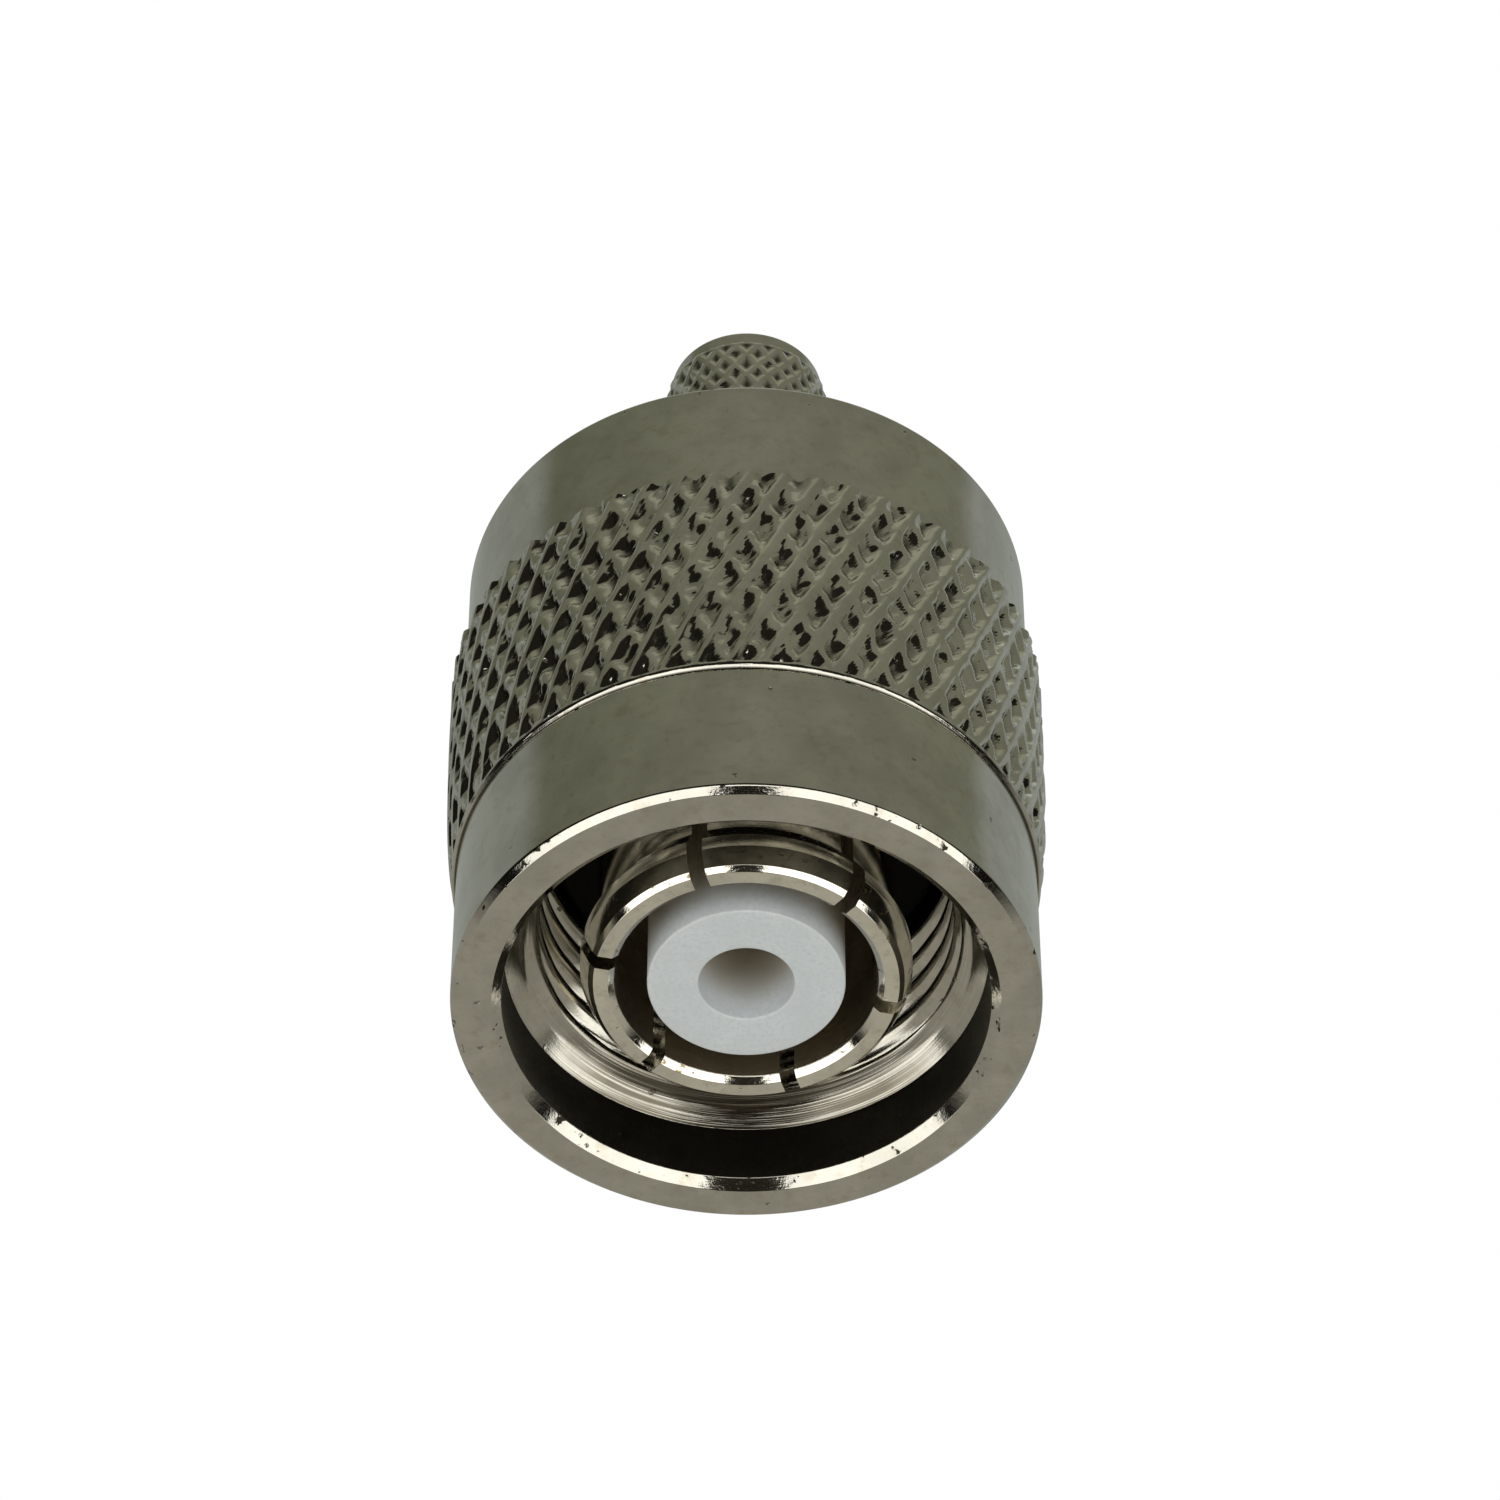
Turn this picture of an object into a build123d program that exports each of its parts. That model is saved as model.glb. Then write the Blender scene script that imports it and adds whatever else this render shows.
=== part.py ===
from build123d import *
from math import cos, pi, radians, sin, tan
import os

# Coaxial crimp plug with a threaded coupling nut. It stands mouth down: the origin is the centre
# of the nut's mouth face, +Z runs along the axis towards the cable end. Sizes are in millimetres.

# Nose of the insulator, which all that lies round it is measured from outwards
insulator_nose_diameter = 4.88

# Coupling nut, outside
front_band_length = 4.4
knurl_length = 7.2
rear_band_length = 4.0
mouth_wall = 1.25
band_bevel = 0.18
knurl_rise = 0.35
knurl_depth = 0.32
knurl_ridge_count = 54
knurl_helix_angle = 24.0
knurl_bevel = 0.15

# Coupling nut, inside
mouth_step = 0.85
mouth_bevel = 0.25
mouth_depth = 1.95

# Body: flange, journal for the nut, collar behind the nut
flange_front_depth = 7.2
flange_thickness = 1.8
flange_step = 0.3
collar_length = 3.5
collar_bevel = 0.4
collar_wall = 3.6

# Body: crimp stem
stem_bore_diameter = 3.1
stem_wall = 0.5
stem_length = 5.4
stem_knurl_depth = 0.15
stem_ridge_count = 24
stem_helix_angle = 34.0
stem_rim_length = 0.5

# Retaining ring between journal and nut
ring_rear_wall = 2.2
ring_thickness = 0.7
ring_width = 0.7
ring_bite = 0.3
ring_gap_angle = 24.0

# Outer contact: a sleeve of sprung fingers
finger_setback = 0.9
finger_count = 6
finger_slot_width = 0.4
finger_slot_length = 5.1
finger_slot_angle = 12.0
finger_tip_step = 0.21
finger_nose_length = 0.6
bead_gap = 1.05
bead_height = 0.4
bead_land = 0.4
bead_back_length = 0.7
sleeve_wall = 0.45
sleeve_foot_length = 2.3

# Insulator
insulator_setback = 0.95
insulator_nose_gap = 0.81
insulator_shoulder_lead = 0.8
insulator_hole_diameter = 2.36
insulator_pocket_diameter = 2.7
insulator_pocket_length = 5.3

# Centre contact
contact_setback = 2.7
contact_diameter = 2.1
contact_bore_diameter = 1.4
contact_bore_depth = 4.6
contact_slot_count = 2
contact_slot_width = 0.2
contact_slot_length = 3.4
contact_collar_thickness = 1.2
contact_crimp_length = 3.8
contact_crimp_bore_diameter = 1.1
contact_crimp_bore_depth = 3.0

# Gasket
gasket_thickness = 0.9

# Clearances
journal_clearance = 0.05
nut_end_float = 0.15
flange_clearance = 0.15
gasket_clearance = 0.05
ring_side_clearance = 0.05
ring_outer_clearance = 0.1
ring_squeeze_clearance = 0.05
contact_clearance = 0.05

# Heights that follow from the sizes, from the mouth face towards the cable end
knurl_end = front_band_length + knurl_length
nut_length = knurl_end + rear_band_length
flange_back_depth = flange_front_depth + flange_thickness
nut_shoulder_depth = flange_back_depth + nut_end_float
ring_end = nut_length - ring_rear_wall
ring_depth = ring_end - ring_thickness
sleeve_foot_end = flange_front_depth + sleeve_foot_length
collar_end = nut_length + collar_length
body_floor_depth = collar_end - collar_wall
stem_end = collar_end + stem_length
insulator_shoulder_depth = flange_front_depth - insulator_shoulder_lead
insulator_pocket_depth = body_floor_depth - insulator_pocket_length

# Radii that follow from the sizes
insulator_nose_radius = insulator_nose_diameter / 2
sleeve_bore_radius = insulator_nose_radius + insulator_nose_gap
sleeve_radius = sleeve_bore_radius + sleeve_wall
bead_radius = sleeve_radius + bead_height
finger_tip_radius = bead_radius - finger_tip_step
thread_minor_radius = bead_radius + bead_gap
mouth_radius = thread_minor_radius + mouth_step
band_radius = mouth_radius + mouth_wall
knurl_radius = band_radius + knurl_rise
flange_radius = thread_minor_radius - flange_clearance
journal_radius = flange_radius - flange_step
nut_bore_radius = journal_radius + journal_clearance
ring_inner_radius = journal_radius - ring_bite
ring_outer_radius = ring_inner_radius + ring_width
ring_groove_radius = nut_bore_radius - ring_width - ring_squeeze_clearance
insulator_hole_radius = insulator_hole_diameter / 2
contact_radius = contact_diameter / 2
stem_bore_radius = stem_bore_diameter / 2
stem_root_radius = stem_bore_radius + stem_wall
stem_radius = stem_root_radius + stem_knurl_depth


def turned(outline):
    """A turned solid: a closed outline of (radius, height) points, carried round the Z axis."""
    section = Plane.XZ * make_face(Polyline(*outline, close=True))
    return revolve(section, Axis.Z)


def disc(radius, low, high):
    """A plain round blank between two heights."""
    return Pos(0, 0, low) * extrude(Circle(radius), high - low)


def knurled_drum(crest_radius, depth, low, high, ridge_count, helix_angle, bevel):
    """A closed drum with a raised diamond knurl, made of flat triangles.

    The ridges of both hands cross at the crests. Every crest has a pit beside it at the same
    height, so the drum's skin is a grid in which crests and pits take turns, and each of its
    cells is folded along the line that joins its two crests. A plain bevelled row leads in to
    the ridges at the low end, and at the high end they are cut off square.
    """
    columns = 2 * ridge_count
    column_angle = 2 * pi / columns
    row_height = crest_radius * column_angle / tan(radians(helix_angle))
    rows = max(2, round((high - low - bevel) / row_height))
    row_height = (high - low - bevel) / rows
    heights = [low] + [low + bevel + row * row_height for row in range(rows + 1)]

    def corner(level, column):
        is_crest = level > 0 and (level + column) % 2 == 0
        radius = crest_radius if is_crest else crest_radius - depth
        angle = column * column_angle
        return Vector(radius * cos(angle), radius * sin(angle), heights[level])

    def flat(*corners):
        return Face(Wire.make_polygon(corners))

    skin = []
    for level in range(len(heights) - 1):
        for column in range(columns):
            a, b = corner(level, column), corner(level, column + 1)
            c, d = corner(level + 1, column + 1), corner(level + 1, column)
            folded_up = (level + column) % 2 == 0
            skin += [flat(a, b, c), flat(a, c, d)] if folded_up else [flat(a, b, d), flat(b, c, d)]
    for level in (0, len(heights) - 1):
        skin.append(flat(*(corner(level, column) for column in range(columns))))
    return Solid(Shell(skin))


def make_coupling_nut():
    """The nut: two smooth bands with the knurl between them, and a stepped hole right through."""
    front_band = turned([
        (0, 0),
        (band_radius - band_bevel, 0),
        (band_radius, band_bevel),
        (band_radius, front_band_length),
        (0, front_band_length),
    ])
    knurl = knurled_drum(knurl_radius, knurl_depth, front_band_length, knurl_end,
                         knurl_ridge_count, knurl_helix_angle, knurl_bevel)
    rear_band = turned([
        (0, knurl_end),
        (band_radius, knurl_end),
        (band_radius, nut_length - band_bevel),
        (band_radius - band_bevel, nut_length),
        (0, nut_length),
    ])
    groove_radius = ring_outer_radius + ring_outer_clearance
    hole = turned([
        (0, 0),
        (mouth_radius + mouth_bevel, 0),
        (mouth_radius, mouth_bevel),
        (mouth_radius, mouth_depth),
        (thread_minor_radius, mouth_depth + mouth_step),
        (thread_minor_radius, nut_shoulder_depth),
        (nut_bore_radius, nut_shoulder_depth),
        (nut_bore_radius, ring_depth - ring_side_clearance),
        (groove_radius, ring_depth - ring_side_clearance),
        (groove_radius, ring_end + ring_side_clearance),
        (nut_bore_radius, ring_end + ring_side_clearance),
        (nut_bore_radius, nut_length),
        (0, nut_length),
    ])
    return front_band + knurl + rear_band - hole


def make_connector_body():
    """The body: flange, journal with the ring groove, collar and knurled crimp stem."""
    blank = turned([
        (0, flange_front_depth),
        (flange_radius, flange_front_depth),
        (flange_radius, flange_back_depth),
        (journal_radius, flange_back_depth),
        (journal_radius, ring_depth - ring_side_clearance),
        (ring_groove_radius, ring_depth - ring_side_clearance),
        (ring_groove_radius, ring_end + ring_side_clearance),
        (journal_radius, ring_end + ring_side_clearance),
        (journal_radius, collar_end - collar_bevel),
        (journal_radius - collar_bevel, collar_end),
        (0, collar_end),
    ])
    rim_start = stem_end - stem_rim_length
    stem_knurl = knurled_drum(stem_radius, stem_knurl_depth, collar_end, rim_start,
                              stem_ridge_count, stem_helix_angle, stem_knurl_depth)
    rim = disc(stem_root_radius, rim_start, stem_end)
    hole = turned([
        (0, flange_front_depth),
        (sleeve_radius, flange_front_depth),
        (sleeve_radius, sleeve_foot_end),
        (sleeve_bore_radius, sleeve_foot_end),
        (sleeve_bore_radius, body_floor_depth),
        (stem_bore_radius, body_floor_depth),
        (stem_bore_radius, stem_end),
        (0, stem_end),
    ])
    return blank + stem_knurl + rim - hole


def make_outer_contact():
    """The sleeve whose front is slotted into sprung fingers with a bead outside their tips."""
    bead_start = finger_setback + finger_nose_length
    bead_end = bead_start + bead_land
    sleeve = turned([
        (sleeve_bore_radius, finger_setback),
        (finger_tip_radius, finger_setback),
        (bead_radius, bead_start),
        (bead_radius, bead_end),
        (sleeve_radius, bead_end + bead_back_length),
        (sleeve_radius, sleeve_foot_end),
        (sleeve_bore_radius, sleeve_foot_end),
    ])
    slot = Pos(0, 0, finger_setback) * Box(
        bead_radius, finger_slot_width, finger_slot_length,
        align=(Align.MIN, Align.CENTER, Align.MIN),
    )
    return sleeve - [turn * slot for turn in PolarLocations(0, finger_count, finger_slot_angle)]


def make_insulator():
    """The insulator: a slim nose inside the fingers, a shoulder, and a pocket for the contact."""
    pocket_radius = insulator_pocket_diameter / 2
    return turned([
        (insulator_hole_radius, insulator_setback),
        (insulator_nose_radius, insulator_setback),
        (insulator_nose_radius, insulator_shoulder_depth),
        (sleeve_bore_radius, insulator_shoulder_depth),
        (sleeve_bore_radius, body_floor_depth),
        (pocket_radius, body_floor_depth),
        (pocket_radius, insulator_pocket_depth),
        (insulator_hole_radius, insulator_pocket_depth),
    ])


def make_center_contact():
    """The socket contact: slotted tines in front, a collar in the pocket, a crimp pot behind."""
    front = insulator_setback + contact_setback
    shoulder_radius = insulator_pocket_diameter / 2 - contact_clearance
    collar_back = insulator_pocket_depth + contact_collar_thickness
    back = collar_back + contact_crimp_length
    blank = turned([
        (0, front),
        (contact_radius, front),
        (contact_radius, insulator_pocket_depth),
        (shoulder_radius, insulator_pocket_depth),
        (shoulder_radius, collar_back),
        (contact_radius, collar_back),
        (contact_radius, back),
        (0, back),
    ])
    socket = disc(contact_bore_diameter / 2, front, front + contact_bore_depth)
    crimp_pot = disc(contact_crimp_bore_diameter / 2, back - contact_crimp_bore_depth, back)
    slot = Pos(0, 0, front) * Box(
        contact_radius, contact_slot_width, contact_slot_length,
        align=(Align.MIN, Align.CENTER, Align.MIN),
    )
    slots = [turn * slot for turn in PolarLocations(0, contact_slot_count)]
    return blank - socket - crimp_pot - slots


def make_gasket():
    """The rubber ring that lies on the flange, round the foot of the sleeve."""
    front = flange_front_depth - gasket_thickness
    inner = sleeve_radius + gasket_clearance
    outer = flange_radius - gasket_clearance
    return turned([
        (inner, front),
        (outer, front),
        (outer, flange_front_depth),
        (inner, flange_front_depth),
    ])


def make_retaining_ring():
    """The split ring that lies half in the journal's groove and half in the nut's."""
    section = Plane.XZ * Pos(ring_inner_radius, ring_depth) * Rectangle(
        ring_width, ring_thickness, align=(Align.MIN, Align.MIN)
    )
    return revolve(section, Axis.Z, 360 - ring_gap_angle)


parts = {
    "coupling_nut": make_coupling_nut(),
    "connector_body": make_connector_body(),
    "outer_contact": make_outer_contact(),
    "insulator": make_insulator(),
    "center_contact": make_center_contact(),
    "gasket": make_gasket(),
    "retaining_ring": make_retaining_ring(),
}

os.makedirs("parts", exist_ok=True)
for name, part in parts.items():
    part.label = name
    export_step(part, f"parts/{name}.step")
    print(f"{name}: {part.volume:.1f} mm3, {len(part.solids())} solid, valid {part.is_valid}")
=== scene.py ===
"""Dresses the coaxial crimp plug: its skins, its finishes, the studio and the camera."""
import logging
from dataclasses import dataclass, field
from enum import Enum
from math import atan2, cos, degrees, hypot, pi, radians, sin, tan
from typing import ClassVar

import bpy
import numpy as np
from mathutils import Matrix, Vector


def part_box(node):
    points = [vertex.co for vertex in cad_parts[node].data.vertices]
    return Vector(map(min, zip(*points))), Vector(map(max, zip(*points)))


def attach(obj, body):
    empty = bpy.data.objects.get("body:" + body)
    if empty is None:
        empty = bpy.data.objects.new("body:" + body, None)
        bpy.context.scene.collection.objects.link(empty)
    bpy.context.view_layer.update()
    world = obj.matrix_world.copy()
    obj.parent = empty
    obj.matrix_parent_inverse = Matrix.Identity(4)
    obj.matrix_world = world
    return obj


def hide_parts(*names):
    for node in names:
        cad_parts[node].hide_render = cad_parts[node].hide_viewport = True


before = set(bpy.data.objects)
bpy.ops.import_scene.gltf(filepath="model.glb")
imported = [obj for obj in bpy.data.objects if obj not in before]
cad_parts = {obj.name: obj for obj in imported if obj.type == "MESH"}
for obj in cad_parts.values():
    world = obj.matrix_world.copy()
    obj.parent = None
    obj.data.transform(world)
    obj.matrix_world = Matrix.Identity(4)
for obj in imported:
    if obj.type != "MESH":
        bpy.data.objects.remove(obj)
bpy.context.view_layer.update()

# Every size below is in millimetres unless its name says otherwise, and the meshes are in metres
MM = 0.001
RING_SIDE_CLEARANCE = 0.05
# How near two radii lie that count as the same
SAME_RADIUS = 0.001
LOG = logging.getLogger("plug")
Colour = tuple[float, float, float]


class Body(Enum):
    """The two bodies that the pieces ride on."""

    PLUG = "body"
    NUT = "nut"


class Slot(Enum):
    """The record's material slots."""

    NUT = "nickel_nut"
    BODY = "nickel_body"
    FINGERS = "nickel_fingers"
    PTFE = "white_ptfe"
    GOLD = "gold_contact"
    RUBBER = "black_rubber"
    STEEL = "spring_steel"


# Shapes


def ring_angles(count: int) -> np.ndarray:
    """Evenly spaced angles round the axis, one for each column of a grid.

    Args:
        count: how many columns go round.

    Returns:
        The angles in radians, without the one that closes the circle.
    """
    return np.arange(count) * (2 * pi / count)


def rounded_path(corners: list[tuple[float, float]], rounding: float | list[float],
                 steps: int = 4) -> tuple[np.ndarray, np.ndarray]:
    """An open outline whose inner corners are rounded by arcs.

    Each arc touches its two edges at rounding x tan(half the turn) from the corner, but no further than
    0.45 of the shorter edge. Its points lie where the edge's normal, turned evenly from one edge to the
    next, meets the circle.

    Args:
        corners: (radius, height) points, with the material on the left of the way along them.
        rounding: the radius of the arcs, or one radius for each inner corner.
        steps: how many points each arc has.

    Returns:
        The points and their outward normals, both as rows of (radius, height).
    """
    points = np.array(corners, float)
    edges = np.diff(points, axis=0)
    lengths = np.linalg.norm(edges, axis=1)
    ways = edges / lengths[:, None]
    sides = np.stack([ways[:, 1], -ways[:, 0]], axis=1)
    into, out = ways[:-1], ways[1:]
    turn = np.arctan2(into[:, 0] * out[:, 1] - into[:, 1] * out[:, 0], np.sum(into * out, axis=1))
    half = np.tan(np.abs(turn) / 2)
    reach = np.minimum(rounding * half, 0.45 * np.minimum(lengths[:-1], lengths[1:]))
    signed = np.sign(turn) * reach / half
    start = points[1:-1] - into * reach[:, None]
    centre = start - sides[:-1] * signed[:, None]
    share = np.linspace(0, 1, steps)
    angle = np.arctan2(sides[:-1, 1], sides[:-1, 0])[:, None] + turn[:, None] * share
    normals = np.stack([np.cos(angle), np.sin(angle)], axis=2)
    arcs = centre[:, None, :] + normals * signed[:, None, None]
    path = np.concatenate([points[:1], arcs.reshape(-1, 2), points[-1:]])
    return path, np.concatenate([sides[:1], normals.reshape(-1, 2), sides[-1:]])


def turned_grid(path: np.ndarray, normals: np.ndarray, angles: np.ndarray) -> tuple[np.ndarray, np.ndarray]:
    """Carries an outline round the axis.

    A point is (radius cos angle, radius sin angle, height), and its normal turns with it.

    Args:
        path: rows of (radius, height).
        normals: the outline's normals, row by row.
        angles: one angle a column, or one for each row and column.

    Returns:
        The grid of points and the grid of normals, rows x columns x 3.
    """
    angles = np.broadcast_to(angles, (len(path), np.shape(angles)[-1]))
    around = np.stack([np.cos(angles), np.sin(angles)], axis=2)
    level = np.ones(angles.shape)
    points = np.dstack([around * path[:, 0, None, None], level * path[:, 1, None]])
    return points, np.dstack([around * normals[:, 0, None, None], level * normals[:, 1, None]])


def field_grid(radius: np.ndarray, height: np.ndarray, angles: np.ndarray) -> tuple[np.ndarray, np.ndarray]:
    """A skin given by its radius at each height and angle.

    The normals are the cross product of the differences between a point's neighbours along its column and its
    row.

    Args:
        radius: rows x columns.
        height: one height a row.
        angles: rows x columns.

    Returns:
        The grid of points and the grid of normals.
    """
    level = np.broadcast_to(height[:, None], radius.shape)
    points = np.dstack([radius * np.cos(angles), radius * np.sin(angles), level])
    across = np.roll(points, -1, axis=1) - np.roll(points, 1, axis=1)
    along = np.gradient(points, axis=0)
    normals = np.cross(across, along)
    return points, normals / np.linalg.norm(normals, axis=2, keepdims=True)


def smooth_noise(shape: tuple[int, int], cells: tuple[int, int], seed: int) -> np.ndarray:
    """Soft noise on a grid that closes round the axis.

    Random values stand at the corners of coarse cells, and each point takes a smoothstep blend of the four
    about it.

    Args:
        shape: rows and columns of the grid.
        cells: coarse cells along the rows and round the columns.
        seed: picks the random values.

    Returns:
        Values from -1 to 1, rows x columns.
    """
    values = np.random.default_rng(seed).uniform(-1, 1, (cells[0] + 1, cells[1]))
    row = np.linspace(0, cells[0], shape[0], endpoint=False)
    column = np.arange(shape[1]) * (cells[1] / shape[1])
    top, left = row.astype(int), column.astype(int)
    down = (row - top)[:, None]
    right = (column - left)[None, :]
    down, right = down * down * (3 - 2 * down), right * right * (3 - 2 * right)
    after = (left + 1) % cells[1]
    above = values[top][:, left] * (1 - right) + values[top][:, after] * right
    below = values[top + 1][:, left] * (1 - right) + values[top + 1][:, after] * right
    return above * (1 - down) + below * down


@dataclass(frozen=True)
class Uneven:
    """A value that wanders softly over a grid: its middle, its stray, its coarse cells and its seed."""

    middle: float
    stray: float
    cells: tuple[int, int]
    seed: int

    def over(self, shape: tuple[int, int]) -> np.ndarray:
        """The value at each point: the middle, and the stray times soft noise."""
        return self.middle + self.stray * smooth_noise(shape, self.cells, self.seed)


@dataclass(frozen=True)
class Ridges:
    """One hand of a knurl's ridges, whose widths are shares of their spacing."""

    half_top: float
    half_foot: float
    wander: Uneven

    def phase(self, turn: np.ndarray, per_radian: float) -> np.ndarray:
        """Place across the ridges, where whole numbers are their wandering centre lines.

        Args:
            turn: the angle between each point and the first ridge, rows x columns.
            per_radian: how many ridges stand in a radian.

        Returns:
            The phase, rows x columns.
        """
        return turn * per_radian + self.wander.over(turn.shape)

    def height(self, phase: np.ndarray) -> np.ndarray:
        """Height of ridges with a flat top and straight flanks, one at each whole number of the phase.

        Args:
            phase: place across the ridges.

        Returns:
            Heights from 0 at the foot to 1 on top.
        """
        away = np.abs(phase - np.round(phase))
        return np.clip((self.half_foot - away) / (self.half_foot - self.half_top), 0, 1)


@dataclass
class Skin:
    """Gathers grids and flat faces into one closed mesh, with a normal of its own at each face corner.

    Each point carries three marks for the finishes: how hollow it lies, which sets its painted shade, how
    streaky the tool left it, which sets painted shade and scores on the lead-in cone, and how much it belongs
    to a bevelled or rounded edge.
    """

    marked: ClassVar[tuple[str, ...]] = ("hollow", "streaks", "edge")
    points: list[np.ndarray] = field(default_factory=list)
    normals: list[np.ndarray] = field(default_factory=list)
    marks: list[np.ndarray] = field(default_factory=list)
    faces: list[np.ndarray] = field(default_factory=list)
    flat: list[bool] = field(default_factory=list)
    count: int = 0

    def grid(self, points: np.ndarray, normals: np.ndarray, hollow: np.ndarray | float = 0.0,
             streaks: np.ndarray | float = 0.0, edges: bool = True) -> np.ndarray:
        """Adds a grid of points.

        A normal that leans 45 degrees to the axis marks an edge most, and one along or square to it not at
        all.

        Args:
            points: rows x columns x 3, in millimetres.
            normals: the same shape.
            hollow: how hollow each point lies.
            streaks: how streaky each point is.
            edges: whether leaning stretches are edges.

        Returns:
            The points' indices, rows x columns.
        """
        indices = self.count + np.arange(points[..., 0].size).reshape(points.shape[:2])
        self.points.append(points.reshape(-1, 3))
        self.normals.append(normals.reshape(-1, 3))
        leaning = 2 * np.abs(normals[..., 2]) * np.hypot(normals[..., 0], normals[..., 1]) * edges
        self.marks.append(np.stack(np.broadcast_arrays(hollow, streaks, leaning), axis=-1).reshape(-1, 3))
        self.count += indices.size
        return indices

    def quads(self, indices: np.ndarray, keep: np.ndarray | None = None) -> None:
        """Joins neighbouring rows of a grid that closes round the axis.

        Args:
            indices: rows x columns of point indices.
            keep: which cells to join, rows - 1 x columns, or all of them.
        """
        after = np.roll(indices, -1, axis=1)
        cells = np.stack([indices[:-1], after[:-1], after[1:], indices[1:]], axis=2)
        cells = cells.reshape(-1, 4) if keep is None else cells[keep]
        self.faces.append(cells)
        self.flat.append(False)

    def plates(self, faces: np.ndarray) -> None:
        """Adds flat faces.

        Args:
            faces: faces x corners of point indices.
        """
        self.faces.append(faces)
        self.flat.append(True)

    def bridge(self, fine: np.ndarray, coarse: np.ndarray, outward: bool) -> None:
        """Joins a ring of many points to one of fewer on the same flat face.

        Each edge of the coarse ring makes one face with the fine points that stand before it.

        Args:
            fine: indices of the ring with more points.
            coarse: indices of the ring with fewer, which divide the fine ones evenly.
            outward: whether the way from the coarse ring to the fine one is the way along the outline.
        """
        each = len(fine) // len(coarse)
        span = (np.arange(len(coarse))[:, None] * each + np.arange(each + 1)) % len(fine)
        after = np.roll(coarse, -1)
        faces = np.column_stack([after, coarse, fine[span]])
        self.plates(faces[:, ::-1] if outward else faces)

    def mesh(self, name: str) -> bpy.types.Object:
        """Makes the object.

        Args:
            name: the object's name.

        Returns:
            The object, linked to the scene and shaded smooth with the gathered normals.
        """
        points = np.concatenate(self.points) * MM
        normals = np.concatenate(self.normals)
        mesh = bpy.data.meshes.new(name)
        mesh.from_pydata(points.tolist(), [], [face for faces in self.faces for face in faces.tolist()])
        mesh.shade_smooth()
        corners = [self.flat_normals(points, faces) if flat else normals[faces].reshape(-1, 3)
                   for faces, flat in zip(self.faces, self.flat)]
        mesh.normals_split_custom_set(np.concatenate(corners).tolist())
        for mark, values in zip(self.marked, np.concatenate(self.marks).T.astype(np.float32)):
            places = mesh.attributes.new(mark, "FLOAT", "POINT").data
            places.foreach_set("value", np.ascontiguousarray(values))
        piece = bpy.data.objects.new(name, mesh)
        bpy.context.scene.collection.objects.link(piece)
        return piece

    @staticmethod
    def flat_normals(points: np.ndarray, faces: np.ndarray) -> np.ndarray:
        """The normal of each flat face, which is the sum of its corners' cross products.

        Args:
            points: all the skin's points.
            faces: faces x corners of point indices.

        Returns:
            One normal for each corner of each face.
        """
        corners = points[faces]
        crossed = np.cross(corners, np.roll(corners, -1, axis=1)).sum(axis=1)
        crossed /= np.linalg.norm(crossed, axis=1, keepdims=True)
        return np.repeat(crossed, faces.shape[1], axis=0)


def closed_turning(name: str, corners: list[tuple[float, float]], rounding: float,
                   columns: int = 192) -> bpy.types.Object:
    """A closed turned piece with a hole through it.

    Args:
        name: the object's name.
        corners: (radius, height) points with the first repeated at the end, lying on a straight edge.
        rounding: the radius of its edges.
        columns: how many points go round.

    Returns:
        The object.
    """
    skin = Skin()
    path, normals = rounded_path(corners, rounding)
    indices = skin.grid(*turned_grid(path[:-1], normals[:-1], ring_angles(columns)))
    skin.quads(np.concatenate([indices, indices[:1]]))
    return skin.mesh(name)


# Shader nodes


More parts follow.
